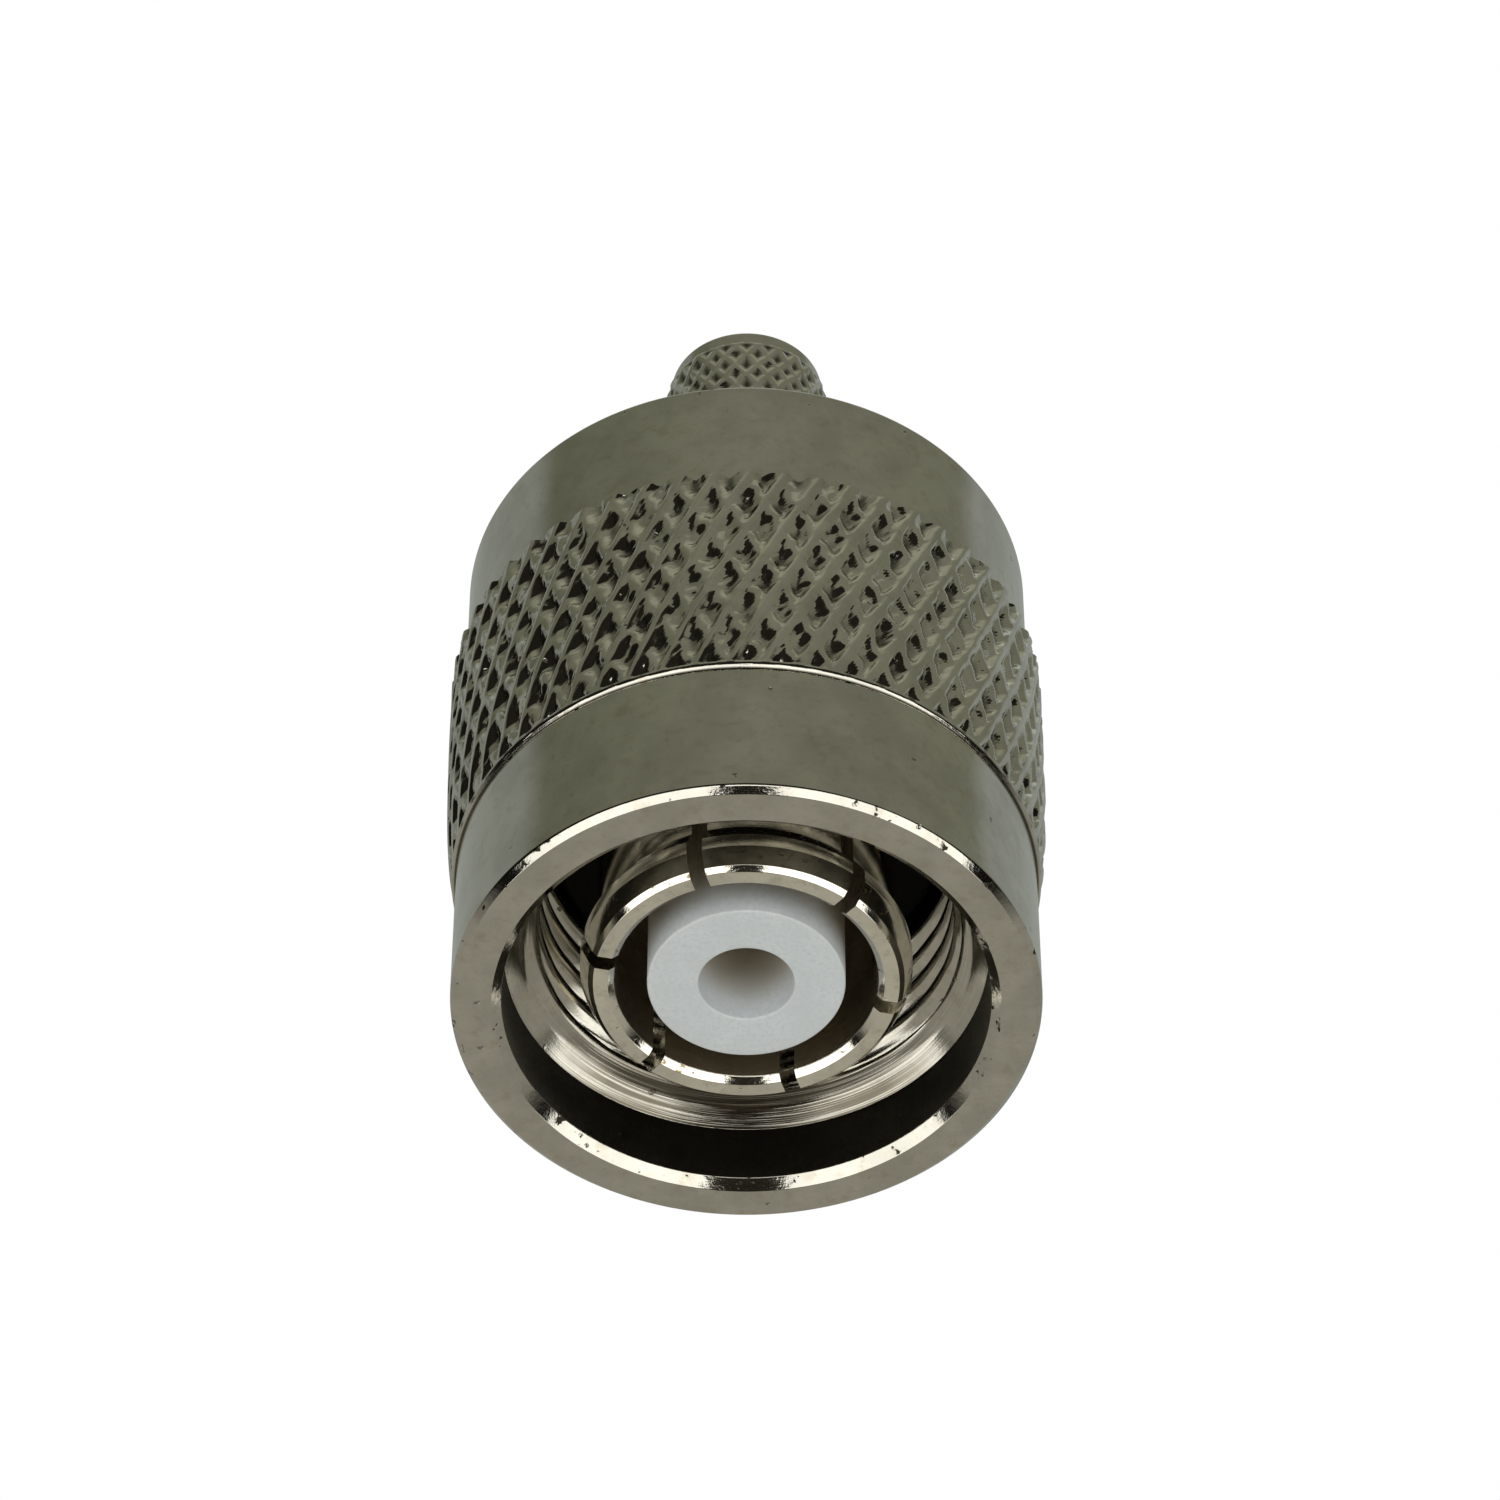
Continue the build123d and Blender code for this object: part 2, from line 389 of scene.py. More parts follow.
class Graph:
    """Adds nodes to a node tree. A socket of another node is linked, and a plain value is set."""

    def __init__(self, tree: bpy.types.NodeTree) -> None:
        """Starts with an empty tree."""
        self.tree = tree
        tree.nodes.clear()

    def node(self, kind: str, settings: dict | None = None, inputs: dict | None = None) -> bpy.types.Node:
        """Adds a node.

        Args:
            kind: the node's type.
            settings: its own properties.
            inputs: what goes into its sockets, by name or number.

        Returns:
            The node.
        """
        made = self.tree.nodes.new(kind)
        for key, value in (settings or {}).items():
            setattr(made, key, value)
        for key, value in (inputs or {}).items():
            self.feed(made.inputs[key], value)
        return made

    def feed(self, socket: bpy.types.NodeSocket, value: object) -> None:
        """Links a socket, or sets its value.

        Args:
            socket: the input.
            value: another node's output, or a plain value.
        """
        if isinstance(value, bpy.types.NodeSocket):
            self.tree.links.new(value, socket)
        else:
            socket.default_value = value

    def math(self, operation: str, *values: object, clamp: bool = False) -> bpy.types.NodeSocket:
        """A sum on one, two or three values."""
        settings = {"operation": operation, "use_clamp": clamp}
        return self.node("ShaderNodeMath", settings, dict(enumerate(values))).outputs[0]

    def vector(self, operation: str, *values: object) -> bpy.types.Node:
        """A sum on vectors, as the node, because its answer may be a vector or a value."""
        return self.node("ShaderNodeVectorMath", {"operation": operation}, dict(enumerate(values)))

    def smooth(self, value: object, low: float, high: float) -> bpy.types.NodeSocket:
        """0 below low, 1 above high and a smooth step between."""
        inputs = {"Value": value, "From Min": low, "From Max": high}
        return self.node("ShaderNodeMapRange", {"interpolation_type": "SMOOTHSTEP"}, inputs).outputs[0]

    def step(self, value: object, place: float, soft: float) -> bpy.types.NodeSocket:
        """A smooth step up about a place, with a width of soft on each side, or down if soft is negative."""
        return self.smooth(value, place - soft, place + soft)

    def mark(self, name: str) -> bpy.types.NodeSocket:
        """One of the marks that a skin's points carry."""
        return self.node("ShaderNodeAttribute", {"attribute_name": name}).outputs["Fac"]

    def blend(self, share: object, first: object, second: object, how: str = "MIX") -> bpy.types.NodeSocket:
        """A mix of two colours.

        Args:
            share: how much of the second, from 0 to 1.
            first: the first colour.
            second: the second colour.
            how: the way of mixing.

        Returns:
            The mixed colour.
        """
        made = self.node("ShaderNodeMix", {"data_type": "RGBA", "blend_type": how})
        for socket, value in ((0, share), (6, first), (7, second)):
            self.feed(made.inputs[socket], value)
        return made.outputs[2]

    def between(self, share: object, first: object, second: object) -> bpy.types.NodeSocket:
        """A mix of two values.

        Args:
            share: how much of the second, from 0 to 1.
            first: the first value.
            second: the second value.

        Returns:
            The mixed value.
        """
        made = self.node("ShaderNodeMix", {"data_type": "FLOAT"})
        for socket, value in ((0, share), (2, first), (3, second)):
            self.feed(made.inputs[socket], value)
        return made.outputs[0]

    def noise(self, place: object, scale: object, detail: float = 2.0,
              rough: float = 0.5) -> bpy.types.NodeSocket:
        """Noise from 0 to 1."""
        inputs = {"Vector": place, "Scale": scale, "Detail": detail, "Roughness": rough}
        return self.node("ShaderNodeTexNoise", None, inputs).outputs[0]

    def ramp(self, value: object, stops: list[tuple[float, Colour]]) -> bpy.types.NodeSocket:
        """A colour ramp.

        Args:
            value: the place on the ramp, from 0 to 1.
            stops: places and their colours, in order.

        Returns:
            The colour.
        """
        made = self.node("ShaderNodeValToRGB", None, {"Fac": value})
        elements = made.color_ramp.elements
        for place, _ in stops[2:]:
            elements.new(place)
        for element, (place, colour) in zip(elements, stops):
            element.position = place
            element.color = (*colour, 1)
        return made.outputs[0]


class Effect:
    """A shader node group that several finishes share."""

    def __init__(self, name: str, inputs: dict[str, float], outputs: list[str]) -> None:
        """Makes the group with its sockets.

        Args:
            name: the group's name.
            inputs: value sockets and their defaults.
            outputs: value sockets.
        """
        self.tree = bpy.data.node_groups.new(name, "ShaderNodeTree")
        new_socket, kind = self.tree.interface.new_socket, "NodeSocketFloat"
        for key, value in inputs.items():
            new_socket(key, in_out="INPUT", socket_type=kind).default_value = value
        for key in outputs:
            new_socket(key, in_out="OUTPUT", socket_type=kind)
        self.graph = Graph(self.tree)
        self.given = self.graph.node("NodeGroupInput").outputs
        self.answer = self.graph.node("NodeGroupOutput").inputs

    def place_mm(self) -> bpy.types.NodeSocket:
        """The point's own place in millimetres."""
        place = self.graph.node("ShaderNodeTexCoord").outputs["Object"]
        return self.graph.vector("MULTIPLY", place, (1 / MM,) * 3).outputs[0]

    def use(self, graph: Graph, **values: float) -> bpy.types.NodeOutputs:
        """Places the group in a material.

        Args:
            graph: the material's nodes.
            values: the group's inputs, with underscores for the spaces in their names.

        Returns:
            The group's outputs.
        """
        made = graph.node("ShaderNodeGroup", {"node_tree": self.tree})
        for key, value in values.items():
            graph.feed(made.inputs[key.replace("_", " ").capitalize()], value)
        return made.outputs


class TurningMarks(Effect):
    """Fine rings left by the lathe: noise that changes fast outwards and along the axis, and slowly round."""

    def __init__(self) -> None:
        """Builds the group."""
        super().__init__("turning_marks", {"Fineness": 12.0, "Wander": 1.0}, ["Lines"])
        graph = self.graph
        x, y, z = graph.node("ShaderNodeSeparateXYZ", None, {0: self.place_mm()}).outputs
        flat = graph.node("ShaderNodeCombineXYZ", None, {0: x, 1: y})
        radius = graph.vector("LENGTH", flat.outputs[0]).outputs["Value"]
        around = graph.vector("SCALE", graph.vector("NORMALIZE", flat.outputs[0]).outputs[0])
        graph.feed(around.inputs["Scale"], self.given["Wander"])
        lines = graph.node("ShaderNodeCombineXYZ", None, {
            0: graph.math("MULTIPLY", graph.math("ADD", radius, z), self.given["Fineness"]),
            1: graph.math("MULTIPLY", graph.math("SUBTRACT", radius, z), self.given["Fineness"]),
        })
        place = graph.vector("ADD", lines.outputs[0], around.outputs[0]).outputs[0]
        graph.feed(self.answer["Lines"], graph.noise(place, 1.0, detail=3.0, rough=0.6))


class PlatingMottle(Effect):
    """Soft uneven tone of the plating, and a fine grain in it."""

    def __init__(self) -> None:
        """Builds the group."""
        super().__init__("plating_mottle", {"Patch size": 1.5, "Grain size": 0.06}, ["Patches", "Grain"])
        graph, place = self.graph, self.place_mm()
        for size, answer, detail in (("Patch size", "Patches", 4.0), ("Grain size", "Grain", 2.0)):
            scale = graph.math("DIVIDE", 1.0, self.given[size])
            graph.feed(self.answer[answer], graph.noise(place, scale, detail, rough=0.6))


class HandlingPits(Effect):
    """Small scattered pits and short scratches from handling, 1 inside them and 0 elsewhere."""

    bend: float = 0.25
    bend_scale: float = 5.0
    pit_edge: tuple[float, float] = (0.55, 1.0)
    chosen_cells: tuple[float, float] = (0.45, 0.5)

    def __init__(self) -> None:
        """Builds the group."""
        super().__init__("handling_pits", {"Spacing": 0.9, "Size": 0.1}, ["Pits"])
        graph, place = self.graph, self.place_mm()
        wobble = graph.node("ShaderNodeTexNoise", None, {"Vector": place, "Scale": self.bend_scale})
        bent = graph.vector("MULTIPLY_ADD", wobble.outputs[1], (self.bend,) * 3, place).outputs[0]
        scale = graph.math("DIVIDE", 1.0, self.given["Spacing"])
        cells = graph.node("ShaderNodeTexVoronoi", None, {"Vector": bent, "Scale": scale})
        away = graph.math("DIVIDE", cells.outputs["Distance"], self.given["Size"])
        drawn = graph.node("ShaderNodeSeparateColor", None, {0: cells.outputs["Color"]}).outputs[0]
        chosen = graph.smooth(drawn, *self.chosen_cells)
        inside = graph.math("SUBTRACT", 1.0, graph.smooth(away, *self.pit_edge))
        graph.feed(self.answer["Pits"], graph.math("MULTIPLY", inside, chosen))


class EdgeChips(Effect):
    """Chipped and dulled spots along the edges, 1 inside them and 0 elsewhere."""

    no_chips: float = 0.76
    reach: float = 0.4
    sharpness: float = 25.0
    leaning: tuple[float, float] = (0.3, 0.6)

    def __init__(self) -> None:
        """Builds the group."""
        super().__init__("edge_chips", {"Size": 0.3, "Share": 0.4}, ["Chips"])
        graph = self.graph
        scale = graph.math("DIVIDE", 1.0, self.given["Size"])
        spots = graph.noise(self.place_mm(), scale, detail=3.0, rough=0.7)
        limit = graph.math("SUBTRACT", self.no_chips, graph.math("MULTIPLY", self.given["Share"], self.reach))
        over = graph.math("MULTIPLY", graph.math("SUBTRACT", spots, limit), self.sharpness, clamp=True)
        edge = graph.smooth(graph.mark("edge"), *self.leaning)
        graph.feed(self.answer["Chips"], graph.math("MULTIPLY", over, edge))


def shaded(colour: Colour, share: float) -> Colour:
    """A colour made darker or lighter, and no lighter than white."""
    return tuple(min(1.0, share * part) for part in colour)


@dataclass(frozen=True)
class Effects:
    """The node groups, built once."""

    turning: TurningMarks
    mottle: PlatingMottle
    pits: HandlingPits
    chips: EdgeChips


@dataclass(frozen=True)
class Nickel:
    """Nickel plate on a turned surface: faintly mottled and stained, with lathe rings, pits and edge wear,
    and painted shade in its hollows and in streaks on the lead-in cone.

    Colours are linear, and a share says how much of its own colour or roughness a mark brings in. A pair
    called the edge of something gives the values of its noise or mark at which it starts and is full.
    """

    name: str

    # Colours
    colour: Colour = (0.60, 0.585, 0.535)
    stain: Colour = (0.42, 0.36, 0.26)
    # Painted shade for the hollows, mixed with dirt, and the dark of pits and chips
    shade_and_grime: Colour = (0.03, 0.027, 0.02)
    # Painted shade for the streaks on one side of the lead-in cone
    streak_shade: Colour = (0.11, 0.095, 0.07)
    light_shade: float = 1.06
    dark_shade: float = 0.9

    # How much each mark shows
    patch_edge: tuple[float, float] = (0.35, 0.65)
    stain_edge: tuple[float, float] = (0.5, 0.75)
    stain_share: float = 0.4
    speck_edge: tuple[float, float] = (0.55, 0.8)
    speck_share: float = 0.25
    streak_edge: tuple[float, float] = (0.32, 0.56)
    streak_share: float = 0.92
    pit_share: float = 0.5
    # Painted shade in the hollows, mixed with dirt
    hollow_edge: tuple[float, float] = (0.2, 0.9)
    hollow_dark: float = 0.0

    # Sizes of the marks
    fineness: float = 14.0
    speckle_patch: float = 0.45
    speckle_grain: float = 0.15
    pit_size: float = 0.09
    pit_spacing: float = 0.9
    chip_size: float = 0.5
    chip_share: float = 0.36

    # Roughness
    roughness: float = 0.11
    ring_roughness: float = 0.04
    worn_roughness: float = 0.25
    edge_polish: float = 0.4

    # Heights
    ring_height: float = 0.0005
    streak_height: float = 0.008
    grain_height: float = 0.0008
    pit_depth: float = 0.012
    edge_waviness: float = 0.002
    hollow_height: float = 0.012

    def material(self, effects: Effects) -> bpy.types.Material:
        """Builds the material.

        Args:
            effects: the shared node groups.

        Returns:
            The material.
        """
        made = bpy.data.materials.new(self.name)
        made.use_nodes = True
        graph = Graph(made.node_tree)
        lines = effects.turning.use(graph, fineness=self.fineness)["Lines"]
        mottle = effects.mottle.use(graph)
        speckle = effects.mottle.use(graph, patch_size=self.speckle_patch, grain_size=self.speckle_grain)
        pits = effects.pits.use(graph, spacing=self.pit_spacing, size=self.pit_size)["Pits"]
        chips = effects.chips.use(graph, size=self.chip_size, share=self.chip_share)["Chips"]
        hollow, streaks, edge = (graph.mark(name) for name in Skin.marked)
        light, dark = shaded(self.colour, self.light_shade), shaded(self.colour, self.dark_shade)

        # Colour: mottled, stained and specked plate, painted shade in the tool's streaks, then pits, painted
        # shade with dirt in the hollows, and chips
        colour = graph.blend(graph.smooth(mottle["Patches"], *self.patch_edge), (*dark, 1), (*light, 1))
        stained = graph.math("MULTIPLY", graph.smooth(speckle["Patches"], *self.stain_edge), self.stain_share)
        colour = graph.blend(stained, colour, (*self.stain, 1))
        specks = graph.math("MULTIPLY", graph.smooth(speckle["Grain"], *self.speck_edge), self.speck_share)
        colour = graph.blend(specks, colour, (*dark, 1), "MULTIPLY")
        # Painted shade in the tool's streaks on one side of the lead-in cone
        streaky = graph.math("MULTIPLY", streaks, self.streak_share)
        painted_streak_shade = graph.math("MULTIPLY", graph.smooth(lines, *self.streak_edge), streaky)
        colour = graph.blend(painted_streak_shade, colour, (*self.streak_shade, 1))
        # Painted shade in the hollows, mixed with dirt, then the dark of pits and chips
        shade_and_grime = graph.math("MULTIPLY", graph.smooth(hollow, *self.hollow_edge), self.hollow_dark)
        pitted = graph.math("MULTIPLY", pits, self.pit_share)
        wear_and_shade = graph.math("MAXIMUM", graph.math("MAXIMUM", pitted, shade_and_grime), chips)
        colour = graph.blend(wear_and_shade, colour, (*self.shade_and_grime, 1))

        # Roughness: uneven with the rings, duller in the pits, chips and shaded hollows, smoother on the
        # edges
        least, most = self.roughness - self.ring_roughness, self.roughness + self.ring_roughness
        ringed = graph.between(lines, least, most)
        rough = graph.math("ADD", ringed, graph.math("MULTIPLY", wear_and_shade, self.worn_roughness))
        rough = graph.math("MULTIPLY_ADD", edge, -self.edge_polish * self.roughness, rough)

        # Height: rings and grain, less the pits, and soft waves on the edges and in the hollows
        rings = graph.math("MULTIPLY_ADD", streaks, self.streak_height, self.ring_height)
        height = graph.math("ADD", graph.math("MULTIPLY", lines, rings),
                            graph.math("MULTIPLY", mottle["Grain"], self.grain_height))
        height = graph.math("SUBTRACT", height, graph.math("MULTIPLY", pits, self.pit_depth))
        wavy = graph.math("MULTIPLY", edge, self.edge_waviness)
        wavy = graph.math("MULTIPLY_ADD", hollow, self.hollow_height, wavy)
        height = graph.math("ADD", height, graph.math("MULTIPLY", speckle["Grain"], wavy))
        bump = graph.node("ShaderNodeBump", None, {"Height": height, "Distance": MM})
        shader = graph.node("ShaderNodeBsdfPrincipled", None, {
            "Base Color": colour, "Metallic": 1.0, "Roughness": rough, "Normal": bump.outputs[0],
        })
        graph.node("ShaderNodeOutputMaterial", None, {"Surface": shader.outputs[0]})
        return made


@dataclass(frozen=True)
class Ptfe:
    """Turned PTFE: white with a blue cast, matt, waxy and finely speckled, with painted shade that makes it
    browner further in.

    A pair called the edge of something gives the values of its noise at which it starts and is full.
    """

    front: float
    name: str = "white_ptfe"
    colour: Colour = (0.70, 0.755, 0.81)
    # Painted shade, browner further in from the front
    deep: Colour = (0.62, 0.575, 0.50)
    patch_shade: float = 0.93
    speck_shade: float = 0.9
    deep_start: float = 0.1
    deep_end: float = 2.0
    roughness: float = 0.5
    refraction: float = 1.35
    fineness: float = 9.0
    patch_size: float = 1.0
    grain_size: float = 0.12
    ring_height: float = 0.002
    grain_height: float = 0.006
    glow: float = 0.5
    glow_depth: float = 0.5
    glow_colour: Colour = (1.0, 0.95, 0.9)
    patch_edge: tuple[float, float] = (0.3, 0.7)
    speck_edge: tuple[float, float] = (0.42, 0.7)

    def material(self, effects: Effects) -> bpy.types.Material:
        """Builds the material.

        Args:
            effects: the shared node groups.

        Returns:
            The material.
        """
        made = bpy.data.materials.new(self.name)
        made.use_nodes = True
        graph = Graph(made.node_tree)
        lines = effects.turning.use(graph, fineness=self.fineness)["Lines"]
        mottle = effects.mottle.use(graph, patch_size=self.patch_size, grain_size=self.grain_size)
        dark, specks = shaded(self.colour, self.patch_shade), shaded(self.colour, self.speck_shade)
        colour = graph.blend(graph.smooth(mottle["Patches"], *self.patch_edge), (*dark, 1), (*self.colour, 1))
        colour = graph.blend(graph.smooth(mottle["Grain"], *self.speck_edge), colour, (*specks, 1))
        # Painted shade: browner further in from the front, over the side and in the hole
        place = graph.node("ShaderNodeTexCoord").outputs["Object"]
        level = graph.node("ShaderNodeSeparateXYZ", None, {0: place}).outputs[2]
        inside = graph.smooth(level, (self.front + self.deep_start) * MM, (self.front + self.deep_end) * MM)
        colour = graph.blend(inside, colour, (*self.deep, 1))
        grain = graph.math("MULTIPLY", mottle["Grain"], self.grain_height)
        height = graph.math("ADD", graph.math("MULTIPLY", lines, self.ring_height), grain)
        bump = graph.node("ShaderNodeBump", None, {"Height": height, "Distance": MM})
        shader = graph.node("ShaderNodeBsdfPrincipled", None, {
            "Base Color": colour, "Roughness": self.roughness, "IOR": self.refraction,
            "Subsurface Weight": self.glow, "Subsurface Radius": self.glow_colour,
            "Subsurface Scale": self.glow_depth * MM, "Normal": bump.outputs[0],
        })
        graph.node("ShaderNodeOutputMaterial", None, {"Surface": shader.outputs[0]})
        return made


@dataclass(frozen=True)
class Plain:
    """A finish with one tone and a fine grain, for the rubber, the gold and the steel that hardly show."""

    name: str
    colour: Colour
    metallic: float
    roughness: float
    dark_shade: float = 0.8
    patch_size: float = 0.8
    grain_size: float = 0.05
    grain_height: float = 0.001

    def material(self, effects: Effects) -> bpy.types.Material:
        """Builds the material.

        Args:
            effects: the shared node groups.

        Returns:
            The material.
        """
        made = bpy.data.materials.new(self.name)
        made.use_nodes = True
        graph = Graph(made.node_tree)
        mottle = effects.mottle.use(graph, patch_size=self.patch_size, grain_size=self.grain_size)
        dark = shaded(self.colour, self.dark_shade)
        colour = graph.blend(mottle["Patches"], (*dark, 1), (*self.colour, 1))
        height = graph.math("MULTIPLY", mottle["Grain"], self.grain_height)
        bump = graph.node("ShaderNodeBump", None, {"Height": height, "Distance": MM})
        shader = graph.node("ShaderNodeBsdfPrincipled", None, {
            "Base Color": colour, "Metallic": self.metallic, "Roughness": self.roughness,
            "Normal": bump.outputs[0],
        })
        graph.node("ShaderNodeOutputMaterial", None, {"Surface": shader.outputs[0]})
        return made


# Pieces


def dress(piece: bpy.types.Object, body: Body, slot: Slot, material: bpy.types.Material,
          *nodes: str) -> None:
    """Gives a new piece its body and finish, and lets it stand for its CAD nodes.

    Args:
        piece: the new piece.
        body: the body that it rides on.
        slot: the record's material slot; not used.
        material: its finish.
        nodes: the CAD nodes that it stands for.
    """
    piece.data.materials.append(material)
    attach(piece, body.value)
    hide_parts(*nodes)
    LOG.info("%s: %d faces on %s", piece.name, len(piece.data.polygons), body.value)


def dress_node(name: str, material: bpy.types.Material) -> None:
    """Gives a CAD node that keeps its own shape its finish.

    Args:
        name: the CAD node's name.
        material: its finish.
    """
    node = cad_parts[name]
    for place in node.material_slots:
        place.material = material
    LOG.info("%s: CAD node in %s", name, material.name)


@dataclass
class CouplingNut:
    """The nut: two smooth bands, the knurl between them, and a stepped and threaded hole."""

    knurl_radius: float
    length: float
    ring_groove: tuple[float, float]

    # Bands
    front_band_length: float = 4.4
    band_bevel: float = 0.18
    band_rounding: float = 0.12
    edge_rounding: float = 0.035

    # Knurl, whose ridges rise to the right or fall, and whose heights are shares of its depth
    knurl_length: float = 7.2
    knurl_rise: float = 0.35
    knurl_depth: float = 0.25
    ridge_count: int = 54
    helix_deg: float = 24.0
    points_per_ridge: int = 12
    fine_per_coarse: int = 3
    knurl_rows: int = 88
    rising: Ridges = Ridges(0.12, 0.36, Uneven(0.0, 0.05, (20, 130), 3))
    falling: Ridges = Ridges(0.12, 0.50, Uneven(0.0, 0.09, (20, 160), 4))
    rising_height: Uneven = Uneven(0.96, 0.04, (12, 120), 5)
    falling_height: Uneven = Uneven(0.84, 0.14, (14, 150), 6)
    floor_height: Uneven = Uneven(0.34, 0.14, (36, 270), 7)
    hump_height: Uneven = Uneven(-0.1, 0.35, (14, 108), 8)
    hump_area: float = 0.06
    # How deep a point must lie to take the painted shade of the hollows
    hollow_gain: float = 1.4
    hollow_start: float = 0.55
    hollow_most: float = 0.75

    # Plain lip in front of the knurl, the drum's swell behind it and its slope at the rear
    lip_heights: tuple[float, ...] = (0.0, 0.045, 0.075, 0.12, 0.17)
    lip_radii: tuple[float, ...] = (0.02, 0.07, 0.09, 0.108, 0.116)
    climb_heights: tuple[float, ...] = (0.03, 0.06)
    first_row_step: float = 0.05
    crown_length: float = 1.3
    rear_slope: float = 2.0
    rear_step: float = 0.015
    knurl_gutter: float = 0.04

    # Mouth and lead-in cone
    mouth_radius: float = 6.0
    mouth_bevel: float = 0.25
    mouth_depth: float = 1.95
    lead_slope: float = 0.885

    # Thread, and the scores that its tool left on the cone, with streaks of painted shade on one side of it
    thread_minor_radius: float = 5.15
    thread_major_radius: float = 5.556
    thread_pitch: float = 25.4 / 28
    thread_flank_deg: float = 30.0
    thread_end: float = 6.9
    thread_margin: float = 0.1
    thread_rows: int = 100
    thread_join: float = 0.012
    scored_and_shaded_length: float = 1.0
    scored_and_shaded_side: float = 0.5
    scored_and_shaded_fade: float = 0.3
    least_scored_and_shaded: tuple[float, float] = (0.15, 0.12)

    # Rear of the hole
    shoulder_depth: float = 9.15
    bore_radius: float = 4.75
    ring_groove_radius: float = 5.2

    @property
    def band_radius(self) -> float:
        """Radius of the two smooth bands."""
        return self.knurl_radius - self.knurl_rise

    @property
    def knurl_end(self) -> float:
        """Height at which the rear band starts."""
        return self.front_band_length + self.knurl_length

    @property
    def lean(self) -> float:
        """Angle that a ridge gains in a millimetre of height."""
        return tan(radians(self.helix_deg)) / self.knurl_radius

    def knurl(self, angles: np.ndarray, heights: np.ndarray) -> tuple[np.ndarray, np.ndarray]:
        """The knurl's radius and hollowness at each point.

        Ridges of both hands run across the drum, and a point is as high as the higher ridge over it. Those
        that rise to the right are taller, and the cells between have an uneven floor with a hump in the
        middle. At the front a plain bevelled lip leads in, and behind it the drum swells along a curve that
        flattens out. At the rear it slopes down to the band.

        Args:
            angles: rows x columns.
            heights: one a row.

        Returns:
            The radius, and how deep each point lies from 0 on a ridge to 1 in a pit.
        """
        shape = angles.shape
        along = (heights - self.front_band_length)[:, None]
        per_radian = self.ridge_count / (2 * pi)
        rising = self.rising.phase(angles - along * self.lean, per_radian)
        falling = self.falling.phase(angles + along * self.lean, per_radian)
        tall = self.rising.height(rising) * self.rising_height.over(shape)
        low = self.falling.height(falling) * self.falling_height.over(shape)
        off_middle = (rising % 1 - 0.5) ** 2 + (falling % 1 - 0.5) ** 2
        hump = np.clip(1 - off_middle / self.hump_area, 0, 1) * self.hump_height.over(shape)
        height = np.maximum(tall, np.maximum(low, self.floor_height.over(shape)) + hump)
        lip_length, lip_top = self.lip_heights[-1], self.lip_radii[-1]
        crown = 1 - np.exp(-np.maximum(along - lip_length, 0) / self.crown_length)
        drum = self.band_radius + lip_top + (self.knurl_rise - lip_top) * crown
        lip = self.band_radius + np.interp(along, self.lip_heights, self.lip_radii)
        radius = np.where(along <= lip_length, lip, drum - self.knurl_depth * (1 - height))
        rear = self.band_radius + self.rear_step - self.rear_slope * (self.knurl_length - along)
        # How much painted shade each point takes, mixed with dirt: the pits, none on the lip, and a full dark
        # line in the first row at the band
        hollow = np.clip(self.hollow_gain * (1 - height) - self.hollow_start, 0, self.hollow_most)
        hollow = hollow * (along > self.lip_heights[2])
        return np.maximum(radius, rear), np.where(along == 0, 1.0, hollow)

    def thread(self, angles: np.ndarray, heights: np.ndarray) -> np.ndarray:
        """The hole's radius from the lead-in cone to the end of the thread.

        The groove is a V of 60 degrees whose flat bottom is a quarter of the pitch wide and rises one pitch
        a turn, and the hole is the wider of groove and bore. The cone leads in as far as the thread's own
        depth, and a steeper flank from there to the bore. Towards its end the groove runs out.

        Args:
            angles: one a column.
            heights: one a row.

        Returns:
            The radius, rows x columns.
        """
        level = heights[:, None]
        cone = self.mouth_radius - (level - self.mouth_depth) / self.lead_slope
        cone = cone - np.maximum(self.thread_major_radius - cone, 0)
        bore = np.maximum(self.thread_minor_radius, cone)
        phase = level / self.thread_pitch - angles[None, :] / (2 * pi)
        away = np.abs(phase - np.round(phase)) * self.thread_pitch
        half_flat = self.thread_pitch / 8
        flank = np.maximum(away - half_flat, 0) / tan(radians(self.thread_flank_deg))
        depth = self.thread_major_radius - self.thread_minor_radius - flank
        fade = np.clip((self.thread_end - level) / self.thread_pitch, 0, 1)
        return np.maximum(bore, self.thread_minor_radius + depth * fade)

    def scores_and_shade(self, angles: np.ndarray, heights: np.ndarray) -> np.ndarray:
        """How much tool scoring and painted shade the hole takes in streaks: most on the lead-in cone, over a
        third of the way round.

        The share is the product of two ramps, one along the axis and one that follows the angle's sine.

        Args:
            angles: one a column.
            heights: one a row.

        Returns:
            Shares from 0 to 1, rows x columns.
        """
        least_along, least_around = self.least_scored_and_shaded
        end = self.mouth_depth + self.scored_and_shaded_length
        along = np.clip((end - heights) / self.scored_and_shaded_fade, least_along, 1)
        around = np.clip((np.sin(angles) - self.scored_and_shaded_side) / self.scored_and_shaded_fade, least_around, 1)
        return along[:, None] * around

